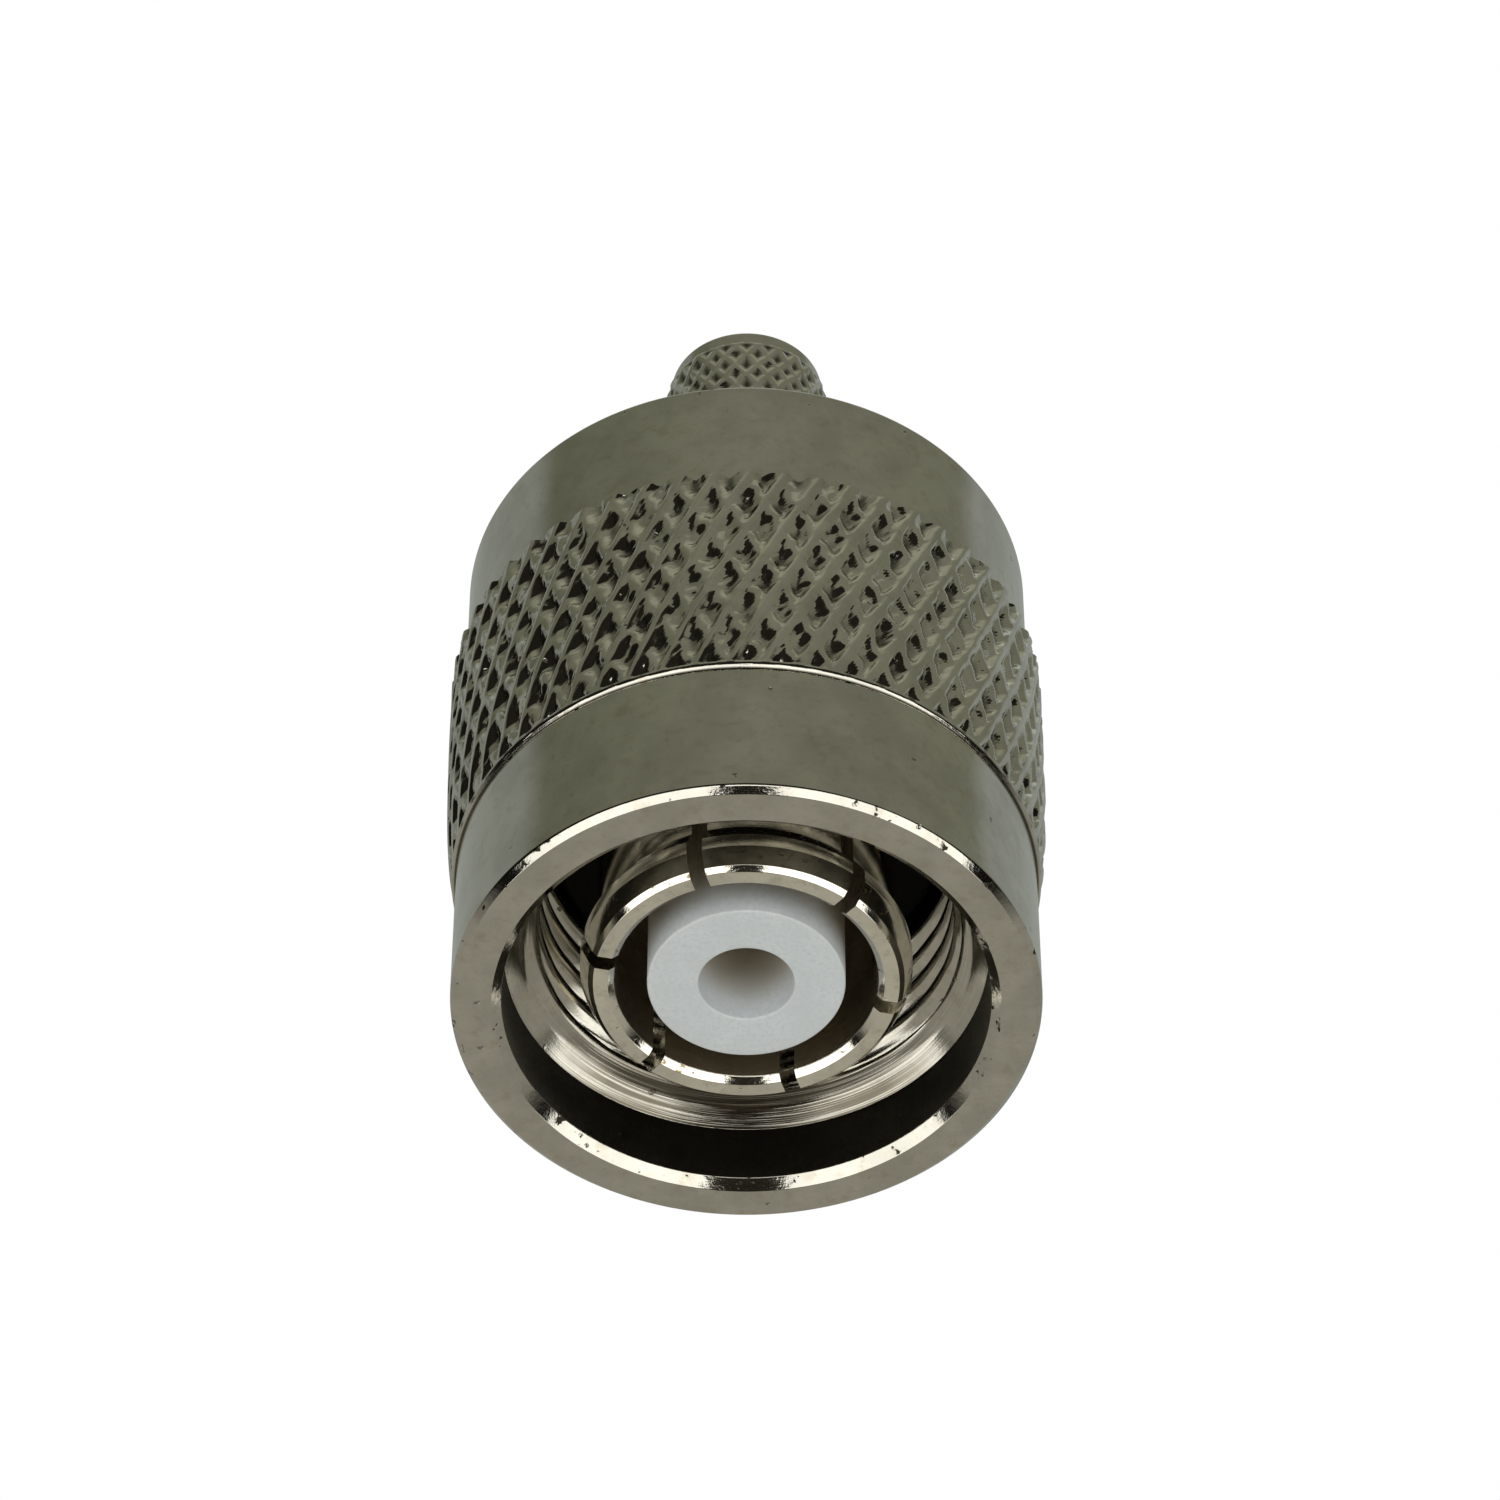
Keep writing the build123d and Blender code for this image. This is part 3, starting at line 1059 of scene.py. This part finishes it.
    def build(self) -> bpy.types.Object:
        """Makes the nut.

        One chain of rings runs from the rear band through the hole to the front band, and the knurl, which
        has more points a ring, closes it. Its columns lean with the ridges, so the chain is turned to meet
        them at the rear.

        Returns:
            The object.
        """
        low, high = self.ring_groove
        start, end, edge = self.front_band_length, self.knurl_end, self.band_radius
        field_end = self.thread_end + self.thread_margin
        join, gutter = self.thread_join, self.knurl_gutter
        rear = rounded_path([
            (edge, end), (edge, self.length - self.band_bevel), (edge - self.band_bevel, self.length),
            (self.bore_radius, self.length), (self.bore_radius, high),
            (self.ring_groove_radius, high), (self.ring_groove_radius, low),
            (self.bore_radius, low), (self.bore_radius, self.shoulder_depth),
            (self.thread_minor_radius, self.shoulder_depth), (self.thread_minor_radius, field_end),
        ], [self.band_rounding, *[self.edge_rounding] * 8])
        front = rounded_path([
            (self.mouth_radius, self.mouth_depth - join), (self.mouth_radius, self.mouth_bevel),
            (self.mouth_radius + self.mouth_bevel, 0), (edge - self.band_bevel, 0), (edge, self.band_bevel),
            (edge, start - gutter), (edge - gutter, start),
        ], [*[self.edge_rounding] * 3, self.band_rounding, self.edge_rounding], steps=6)
        fine = ring_angles(self.ridge_count * self.points_per_ridge)
        coarse = fine[::self.fine_per_coarse]
        deep = np.linspace(field_end - join, self.mouth_depth + join, self.thread_rows)
        hole = self.thread(coarse, deep)
        hole_grid = field_grid(hole, deep, np.broadcast_to(coarse, hole.shape))
        # The mouth's wall is marked hollow, so the finish paints it with shade
        mouth_wall = front[0][:, :1] < self.mouth_radius + SAME_RADIUS

        lip_rows = start + np.array(self.lip_heights)
        first_rows = np.concatenate([lip_rows, lip_rows[-1] + np.array(self.climb_heights)])
        even_rows = np.linspace(first_rows[-1] + self.first_row_step, end, self.knurl_rows - len(first_rows))
        heights = np.concatenate([first_rows, even_rows])
        angles = fine[None, :] + (heights - start)[:, None] * self.lean
        radius, hollow = self.knurl(angles, heights)

        skin = Skin()
        chain = np.concatenate([
            skin.grid(*turned_grid(*rear, coarse)),
            # Streaks of painted shade and tool scores on the lead-in cone
            skin.grid(*hole_grid, streaks=self.scores_and_shade(coarse, deep), edges=False),
            skin.grid(*turned_grid(*front, coarse), hollow=mouth_wall),
        ])
        skin.quads(chain)
        knurl = skin.grid(*field_grid(radius, heights, angles), hollow=hollow, edges=False)
        skin.quads(knurl)
        turned = round(self.knurl_length * self.lean / (2 * pi) * len(coarse))
        skin.bridge(knurl[0], chain[-1], outward=True)
        skin.bridge(knurl[-1], np.roll(chain[0], -turned), outward=False)
        return skin.mesh("nut_dressed")


@dataclass
class ConnectorBody:
    """The turned body: flange, journal, collar and the knurled crimp stem."""

    stem_end: float
    floor_depth: float
    flange_front: float
    sleeve_foot_end: float
    groove: tuple[float, float]

    # Flange, journal and collar
    flange_thickness: float = 1.8
    flange_radius: float = 5.0
    journal_radius: float = 4.7
    groove_radius: float = 4.0
    collar_bevel: float = 0.4
    sleeve_seat_radius: float = 3.7
    insulator_seat_radius: float = 3.25
    edge_rounding: float = 0.04

    # Stem and its knurl, whose heights are shares of its depth
    stem_length: float = 5.4
    stem_bore_radius: float = 1.55
    stem_root_radius: float = 2.05
    stem_radius: float = 2.2
    stem_knurl_depth: float = 0.09
    stem_rim_length: float = 0.5
    stem_ridge_count: int = 24
    stem_helix_deg: float = 34.0
    stem_falling: Ridges = Ridges(0.08, 0.5, Uneven(0.0, 0.1, (12, 24), 11))
    stem_rising: Ridges = Ridges(0.08, 0.5, Uneven(0.0, 0.1, (12, 24), 12))
    stem_height: Uneven = Uneven(0.88, 0.12, (16, 48), 13)
    stem_end_slope: float = 0.08
    stem_join: float = 0.01
    seam_depth: float = 4.0
    points_per_ridge: int = 12
    knurl_rows: int = 80

    def stem_knurl(self, angles: np.ndarray, heights: np.ndarray) -> tuple[np.ndarray, np.ndarray]:
        """The stem's knurl: ridges of both hands, equally high and narrow on top, with pits between them.

        Args:
            angles: one a column.
            heights: one a row.

        Returns:
            The radius, and how deep each point lies, rows x columns.
        """
        along = (heights - heights[0])[:, None]
        turned = along * tan(radians(self.stem_helix_deg)) / self.stem_radius
        per_radian = self.stem_ridge_count / (2 * pi)
        falling = self.stem_falling.height(self.stem_falling.phase(angles + turned, per_radian))
        rising = self.stem_rising.height(self.stem_rising.phase(angles - turned, per_radian))
        height = np.maximum(falling, rising) * self.stem_height.over(falling.shape)
        full = self.stem_radius - self.stem_root_radius
        ends = np.clip(along / full, 0, 1) * np.clip((along[-1] - along) / self.stem_end_slope, 0, 1)
        radius = self.stem_root_radius + ends * (full - self.stem_knurl_depth * (1 - height))
        # How deep the pits lie, which sets their painted shade in the finish
        return radius, (1 - height) * ends

    def build(self) -> bpy.types.Object:
        """Makes the body, one closed outline whose stretch over the stem carries the knurl.

        Returns:
            The object.
        """
        low, high = self.groove
        rim_start = self.stem_end - self.stem_rim_length
        collar_end = self.stem_end - self.stem_length
        flange_back = self.flange_front + self.flange_thickness
        start = (self.stem_bore_radius, self.stem_end - self.seam_depth)
        front = rounded_path([
            start, (self.stem_bore_radius, self.floor_depth),
            (self.insulator_seat_radius, self.floor_depth),
            (self.insulator_seat_radius, self.sleeve_foot_end),
            (self.sleeve_seat_radius, self.sleeve_foot_end), (self.sleeve_seat_radius, self.flange_front),
            (self.flange_radius, self.flange_front), (self.flange_radius, flange_back),
            (self.journal_radius, flange_back), (self.journal_radius, low), (self.groove_radius, low),
            (self.groove_radius, high), (self.journal_radius, high),
            (self.journal_radius, collar_end - self.collar_bevel),
            (self.journal_radius - self.collar_bevel, collar_end), (self.stem_root_radius, collar_end),
        ], self.edge_rounding)
        rear, rear_normals = rounded_path([
            (self.stem_root_radius, rim_start), (self.stem_root_radius, self.stem_end),
            (self.stem_bore_radius, self.stem_end), start,
        ], 2 * self.edge_rounding)
        columns = ring_angles(self.stem_ridge_count * self.points_per_ridge)
        heights = np.linspace(collar_end + self.stem_join, rim_start - self.stem_join, self.knurl_rows)
        radius, hollow = self.stem_knurl(columns, heights)
        knurl = field_grid(radius, heights, np.broadcast_to(columns, radius.shape))
        skin = Skin()
        rows = [
            skin.grid(*turned_grid(*front, columns)),
            skin.grid(*knurl, hollow=hollow, edges=False),
            skin.grid(*turned_grid(rear[:-1], rear_normals[:-1], columns)),
        ]
        skin.quads(np.concatenate([*rows, rows[0][:1]]))
        return skin.mesh("body_dressed")


@dataclass
class OuterContact:
    """The sleeve whose front is slotted into sprung fingers with a bead outside their tips."""

    tip: float
    foot: float
    bead_radius: float
    sleeve_radius: float = 3.7
    bore_radius: float = 3.25
    tip_radius: float = 3.89
    tip_bevel: float = 0.13
    bore_bevel: float = 0.16
    nose_length: float = 0.6
    bead_land: float = 0.4
    bead_back_length: float = 0.7
    slot_end: float = 6.0
    slot_width: float = 0.4
    slot_deg: float = 12.0
    finger_count: int = 6
    points_per_finger: int = 40
    edge_rounding: float = 0.04

    def build(self) -> bpy.types.Object:
        """Makes the sleeve.

        The outline is carried round the axis with gaps: at each radius the columns keep half a slot's width
        away from the slot's middle plane, so the slots have flat, parallel walls. Cells across a slot exist
        only behind its end.

        Returns:
            The object.
        """
        bead_start = self.tip + self.nose_length
        bead_end = bead_start + self.bead_land
        rear = rounded_path([
            (self.sleeve_radius, self.slot_end), (self.sleeve_radius, self.foot),
            (self.bore_radius, self.foot), (self.bore_radius, self.slot_end),
        ], self.edge_rounding)
        front = rounded_path([
            (self.bore_radius, self.slot_end), (self.bore_radius, self.tip + self.bore_bevel),
            (self.bore_radius + self.bore_bevel, self.tip), (self.tip_radius - self.tip_bevel, self.tip),
            (self.tip_radius, self.tip + self.tip_bevel), (self.bead_radius, bead_start),
            (self.bead_radius, bead_end), (self.sleeve_radius, bead_end + self.bead_back_length),
            (self.sleeve_radius, self.slot_end),
        ], self.edge_rounding)
        path = np.concatenate([rear[0], front[0][1:-1]])
        normals = np.concatenate([rear[1], front[1][1:-1]])
        half_slot = np.arcsin(self.slot_width / 2 / path[:, 0])[:, None, None]
        pitch = 2 * pi / self.finger_count
        share = np.linspace(0, 1, self.points_per_finger)[None, None, :]
        middle = radians(self.slot_deg) + np.arange(self.finger_count)[None, :, None] * pitch
        angles = (middle + half_slot + share * (pitch - 2 * half_slot)).reshape(len(path), -1)
        # The bore is marked hollow, so the finish paints it with shade
        bore = path[:, :1] < self.bore_radius + SAME_RADIUS
        skin = Skin()
        indices = skin.grid(*turned_grid(path, normals, angles), hollow=bore)
        loop = np.concatenate([indices, indices[:1]])
        last_rear = len(rear[0]) - 1
        keep = np.ones((len(path), indices.shape[1]), bool)
        keep[last_rear:, self.points_per_finger - 1::self.points_per_finger] = False
        skin.quads(loop, keep)
        firsts = np.arange(self.finger_count) * self.points_per_finger
        lasts = firsts + self.points_per_finger - 1
        skin.plates(loop[last_rear:, firsts].T)
        skin.plates(loop[last_rear:, lasts].T[:, ::-1])
        following = np.roll(firsts, -1)
        inner, outer = loop[last_rear], loop[0]
        skin.plates(np.column_stack([inner[lasts], inner[following], outer[following], outer[lasts]]))
        return skin.mesh("fingers_dressed")


@dataclass
class Insulator:
    """The white insulator: a slim nose, a shoulder and a pocket for the contact."""

    front: float
    back: float
    rear_radius: float
    nose_radius: float = 2.44
    hole_radius: float = 1.18
    shoulder_depth: float = 6.4
    pocket_radius: float = 1.35
    pocket_depth: float = 10.0
    seam_depth: float = 2.0
    edge_rounding: float = 0.05

    def build(self) -> bpy.types.Object:
        """Makes the insulator.

        Returns:
            The object.
        """
        start = (self.nose_radius, self.front + self.seam_depth)
        return closed_turning("insulator_dressed", [
            start, (self.nose_radius, self.shoulder_depth),
            (self.rear_radius, self.shoulder_depth), (self.rear_radius, self.back),
            (self.pocket_radius, self.back), (self.pocket_radius, self.pocket_depth),
            (self.hole_radius, self.pocket_depth), (self.hole_radius, self.front),
            (self.nose_radius, self.front), start,
        ], self.edge_rounding)


@dataclass
class Gasket:
    """The rubber ring on the flange."""

    front: float
    back: float
    outer_radius: float
    inner_radius: float = 3.75
    edge_rounding: float = 0.15

    def build(self) -> bpy.types.Object:
        """Makes the gasket.

        Returns:
            The object.
        """
        start = (self.outer_radius, (self.front + self.back) / 2)
        return closed_turning("gasket_dressed", [
            start, (self.outer_radius, self.back), (self.inner_radius, self.back),
            (self.inner_radius, self.front), (self.outer_radius, self.front), start,
        ], self.edge_rounding)


# Studio


@dataclass(frozen=True)
class PhotoCamera:
    """The photograph's view: from below the mouth, with the axis leaning away from the camera."""

    tilt_deg: float = 41.2
    focal_px: float = 6552.0
    photo_px: float = 1500.0
    sensor_mm: float = 36.0
    mouth_depth: float = 160.17
    mouth_drop: float = 6.375
    mouth_left: float = 0.09

    def build(self) -> bpy.types.Object:
        """Makes the camera, from which the mouth's centre lies at the given depth, drop and offset.

        Returns:
            The camera, made the scene's own.
        """
        lean = radians(self.tilt_deg)
        forward = np.array([0, sin(lean), cos(lean)])
        up = np.array([0, -cos(lean), sin(lean)])
        right = np.array([1.0, 0, 0])
        place = (self.mouth_left * right + self.mouth_drop * up - self.mouth_depth * forward) * MM
        data = bpy.data.cameras.new("photo_camera")
        data.sensor_width = self.sensor_mm
        data.lens = self.focal_px / self.photo_px * self.sensor_mm
        data.clip_start, data.clip_end = 0.001, 10
        camera = bpy.data.objects.new("photo_camera", data)
        turn = Matrix([[*row] for row in np.column_stack([right, up, -forward])])
        camera.matrix_world = Matrix.Translation(place) @ turn.to_4x4()
        bpy.context.scene.collection.objects.link(camera)
        bpy.context.scene.camera = camera
        return camera


@dataclass(frozen=True)
class Surroundings:
    """What the metal mirrors: a dim room, dark at eye level, with two pale windows low in front.

    The room is lighter above, lightest overhead and behind, and pale again below. The windows are two halves
    of one band, apart by a gap that widens downwards, and their tops drop towards their outer ends.

    Directions are given by their compass angle, 0 at the front and positive to the right, and by the sine of
    their height above eye level. The soft values are half the widths of the steps between two tones.
    """

    # Tones
    above_front: Colour = (0.250, 0.252, 0.196)
    above_left: Colour = (0.160, 0.168, 0.118)
    above_right: Colour = (0.215, 0.220, 0.165)
    above_back: Colour = (0.335, 0.355, 0.325)
    above_back_left: Colour = (0.285, 0.300, 0.265)
    below: Colour = (0.370, 0.352, 0.296)
    level_front: Colour = (0.018, 0.016, 0.012)
    level_side: Colour = (0.006, 0.006, 0.005)
    level_back: Colour = (0.35, 0.335, 0.285)
    window: Colour = (1.75, 1.72, 1.60)
    gap_low: Colour = (0.06, 0.048, 0.034)

    # Compass angles at which the room's tones change
    left_edge_deg: float = -93.0
    right_edge_deg: float = 106.0
    edge_soft_deg: float = 6.0
    level_front_deg: float = 25.2
    level_side_deg: float = 93.6
    level_back_deg: float = 108.0

    # Gap between the windows, and the windows
    gap_top: float = -0.55
    gap_closes: float = -0.6
    gap_spread: float = 3.2
    gap_lightens: float = -0.73
    window_outer_deg: float = 102.0
    window_top: float = -0.26
    window_bottom: float = -0.86
    corner_deg: float = 57.0
    corner_drop: float = 0.0062

    # Heights at which the room's tones change
    above_start: float = 0.50
    above_start_right: float = 0.24
    turns_right_deg: tuple[float, float] = (10.0, 50.0)
    zenith_start: float = 0.80
    zenith_full: float = 0.95
    zenith_gain: float = 1.6
    below_start: float = -0.31
    room_soft: float = 0.05
    band_soft: float = 0.04
    window_soft: float = 0.03

    @staticmethod
    def turn_share(angle_deg: float) -> float:
        """Place of a compass angle on a ramp that runs once round from the back."""
        return angle_deg / 360 + 0.5

    def build(self) -> None:
        """Makes the world: white for the camera, and the room for everything else."""
        world = bpy.data.worlds.new("studio_world")
        bpy.context.scene.world = world
        world.use_nodes = True
        graph = Graph(world.node_tree)
        direction = graph.node("ShaderNodeTexCoord").outputs["Generated"]
        x, y, z = graph.node("ShaderNodeSeparateXYZ", None, {0: direction}).outputs
        compass = graph.math("ARCTAN2", x, graph.math("MULTIPLY", y, -1.0))
        share = graph.math("ADD", graph.math("DIVIDE", compass, 2 * pi), 0.5)

        # Tones round the room, above and at eye level
        left, right, soft = self.left_edge_deg, self.right_edge_deg, self.edge_soft_deg
        above = graph.ramp(share, [(self.turn_share(angle), tone) for angle, tone in (
            (-180, self.above_back), (left - soft, self.above_back_left), (left + soft, self.above_left),
            (0, self.above_front), (right - soft, self.above_right), (right + soft, self.above_back),
        )])
        level = graph.ramp(share, [(self.turn_share(angle), tone) for angle, tone in (
            (-self.level_back_deg, self.level_back), (-self.level_side_deg, self.level_side),
            (-self.level_front_deg, self.level_front), (self.level_front_deg, self.level_front),
            (self.level_side_deg, self.level_side), (self.level_back_deg, self.level_back),
        )])

        # The room: the upper tones over the dark level, and the pale floor below it
        band, edge = self.band_soft, self.window_soft
        away = graph.math("ABSOLUTE", compass)
        behind = graph.step(away, radians(self.window_outer_deg), self.room_soft)
        gain = graph.between(graph.smooth(z, self.zenith_start, self.zenith_full), 1.0, self.zenith_gain)
        above = graph.vector("SCALE", above)
        graph.feed(above.inputs["Scale"], gain)
        to_right = graph.smooth(compass, *(radians(angle) for angle in self.turns_right_deg))
        ceiling = graph.between(to_right, self.above_start, self.above_start_right)
        raised = graph.step(graph.math("SUBTRACT", z, ceiling), 0.0, self.room_soft)
        colour = graph.blend(raised, level, above.outputs[0])
        lower = graph.step(z, self.window_bottom, -band)
        lower_behind = graph.math("MULTIPLY", behind, graph.step(z, self.below_start, -band))
        colour = graph.blend(graph.math("MAXIMUM", lower, lower_behind), colour, (*self.below, 1))

        # The gap, which is dark again low down
        gap = graph.math("MULTIPLY", graph.math("SUBTRACT", self.gap_closes, z), self.gap_spread)
        gap_colour = graph.blend(graph.step(z, self.gap_lightens, -band), level, (*self.gap_low, 1))
        inside = graph.step(graph.math("SUBTRACT", gap, away), 0.0, edge)
        inside = graph.math("MULTIPLY", inside, graph.step(z, self.gap_top, -self.room_soft))
        colour = graph.blend(inside, colour, gap_colour)

        # The windows, bounded by the gap, their tops, their bottom and their outer ends
        beyond = graph.math("MAXIMUM", graph.math("SUBTRACT", away, radians(self.corner_deg)), 0.0)
        top = graph.math("MULTIPLY_ADD", beyond, degrees(-self.corner_drop), self.window_top)
        window = graph.math("SUBTRACT", 1.0, behind)
        for bound in (graph.step(graph.math("SUBTRACT", away, gap), 0.0, edge),
                      graph.step(graph.math("SUBTRACT", top, z), 0.0, edge),
                      graph.step(z, self.window_bottom, band)):
            window = graph.math("MULTIPLY", window, bound)
        colour = graph.blend(window, colour, (*self.window, 1))

        room = graph.node("ShaderNodeBackground", None, {"Color": colour, "Strength": 1.0})
        white = graph.node("ShaderNodeBackground", None, {"Color": (1, 1, 1, 1), "Strength": 1.0})
        seen = graph.node("ShaderNodeLightPath").outputs["Is Camera Ray"]
        mixed = graph.node("ShaderNodeMixShader", None, {0: seen, 1: room.outputs[0], 2: white.outputs[0]})
        graph.node("ShaderNodeOutputWorld", None, {"Surface": mixed.outputs[0]})


@dataclass(frozen=True)
class Floor:
    """A pale table top under the mouth. It shows only from above, so the photograph's view passes it."""

    radius: float = 150.0
    fade_start: float = 45.0
    fade_end: float = 135.0
    drop: float = 0.003
    corner_count: int = 96
    colour: Colour = (0.86, 0.86, 0.85)

    def build(self) -> bpy.types.Object:
        """Makes the floor, a flat disc whose edge fades away.

        Returns:
            The object.
        """
        angles = ring_angles(self.corner_count)
        across, along = self.radius * np.cos(angles), self.radius * np.sin(angles)
        points = np.column_stack([across, along, np.full(len(angles), -self.drop)]) * MM
        mesh = bpy.data.meshes.new("floor")
        mesh.from_pydata(points.tolist(), [], [list(range(len(angles)))])
        floor = bpy.data.objects.new("floor", mesh)
        bpy.context.scene.collection.objects.link(floor)
        mesh.materials.append(self.material())
        floor.visible_diffuse = False
        floor.visible_glossy = False
        floor.visible_transmission = False
        floor.visible_shadow = False
        return floor

    def material(self) -> bpy.types.Material:
        """A matt pale surface, clear from below and beyond its fading edge.

        Returns:
            The material.
        """
        made = bpy.data.materials.new("floor")
        made.use_nodes = True
        graph = Graph(made.node_tree)
        place = graph.node("ShaderNodeTexCoord").outputs["Object"]
        away = graph.vector("LENGTH", place).outputs["Value"]
        fade = graph.smooth(away, self.fade_start * MM, self.fade_end * MM)
        back = graph.node("ShaderNodeNewGeometry").outputs["Backfacing"]
        clear = graph.math("MAXIMUM", fade, back)
        matt = graph.node("ShaderNodeBsdfDiffuse", None, {"Color": (*self.colour, 1)})
        gone = graph.node("ShaderNodeBsdfTransparent")
        mixed = graph.node("ShaderNodeMixShader", None, {0: clear, 1: matt.outputs[0], 2: gone.outputs[0]})
        graph.node("ShaderNodeOutputMaterial", None, {"Surface": mixed.outputs[0]})
        return made


@dataclass(frozen=True)
class OverheadLamp:
    """A soft lamp above, which lights the floor and the matt pieces and isn't mirrored in the metal."""

    place: tuple[float, float, float] = (-90.0, -120.0, 220.0)
    target_height: float = 10.0
    size: float = 160.0
    power: float = 1.1

    def build(self) -> bpy.types.Object:
        """Makes the lamp, aimed at the object's middle.

        Returns:
            The object.
        """
        data = bpy.data.lights.new("overhead_lamp", "AREA")
        data.size = self.size * MM
        data.energy = self.power
        lamp = bpy.data.objects.new("overhead_lamp", data)
        x, y, z = self.place
        lamp.rotation_euler = (atan2(hypot(x, y), z - self.target_height), 0, atan2(x, -y))
        lamp.location = [part * MM for part in self.place]
        lamp.visible_glossy = False
        bpy.context.scene.collection.objects.link(lamp)
        return lamp


@dataclass(frozen=True)
class NodeSize:
    """What the pieces need to know of a CAD node, in millimetres: its largest radius and its two ends."""

    radius: float
    front: float
    back: float

    @classmethod
    def read(cls, node: str) -> "NodeSize":
        """Reads a node's box.

        Args:
            node: the CAD node's name.

        Returns:
            Its size.
        """
        low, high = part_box(node)
        return cls(max(high[0], high[1]) / MM, low[2] / MM, high[2] / MM)


def main() -> None:
    """Builds the pieces in order, dresses them and sets up the studio."""
    logging.basicConfig(level=logging.INFO, format="%(name)s: %(message)s")
    effects = Effects(TurningMarks(), PlatingMottle(), HandlingPits(), EdgeChips())
    # How much painted shade, mixed with dirt, each finish puts in its hollows; the fingers' shade is brown
    nickel_nut = Nickel("nickel_nut", hollow_dark=0.85).material(effects)
    nickel_body = Nickel("nickel_body", hollow_dark=0.9).material(effects)
    # The fingers' nickel is painted lighter than the nut's, as painted light on them
    nickel_fingers = Nickel("nickel_fingers", (0.88, 0.855, 0.775), shade_and_grime=(0.34, 0.27, 0.17), pit_size=0.05,
                            chip_size=0.25, hollow_dark=0.7).material(effects)

    nut_size, body_size, sleeve_size = map(NodeSize.read, ("coupling_nut", "connector_body", "outer_contact"))
    insulator_size, gasket_size, ring_size = map(NodeSize.read, ("insulator", "gasket", "retaining_ring"))
    ring_groove = (ring_size.front - RING_SIDE_CLEARANCE, ring_size.back + RING_SIDE_CLEARANCE)

    nut = CouplingNut(nut_size.radius, nut_size.back, ring_groove).build()
    dress(nut, Body.NUT, Slot.NUT, nickel_nut, "coupling_nut")

    body = ConnectorBody(stem_end=body_size.back, floor_depth=insulator_size.back,
                         flange_front=gasket_size.back, sleeve_foot_end=sleeve_size.back,
                         groove=ring_groove).build()
    dress(body, Body.PLUG, Slot.BODY, nickel_body, "connector_body")

    fingers = OuterContact(sleeve_size.front, sleeve_size.back, sleeve_size.radius).build()
    dress(fingers, Body.PLUG, Slot.FINGERS, nickel_fingers, "outer_contact")

    insulator = Insulator(insulator_size.front, insulator_size.back, insulator_size.radius).build()
    dress(insulator, Body.PLUG, Slot.PTFE, Ptfe(insulator_size.front).material(effects), "insulator")

    gasket = Gasket(gasket_size.front, gasket_size.back, gasket_size.radius).build()
    rubber = Plain("black_rubber", (0.02, 0.02, 0.02), 0.0, 0.75).material(effects)
    dress(gasket, Body.PLUG, Slot.RUBBER, rubber, "gasket")

    dress_node("center_contact", Plain("gold_contact", (0.83, 0.62, 0.28), 1.0, 0.25).material(effects))
    dress_node("retaining_ring", Plain("spring_steel", (0.42, 0.42, 0.43), 1.0, 0.35).material(effects))

    Floor().build()
    OverheadLamp().build()
    Surroundings().build()
    PhotoCamera().build()
    bpy.context.scene.view_settings.view_transform = "Standard"


if __name__ == "__main__":
    main()
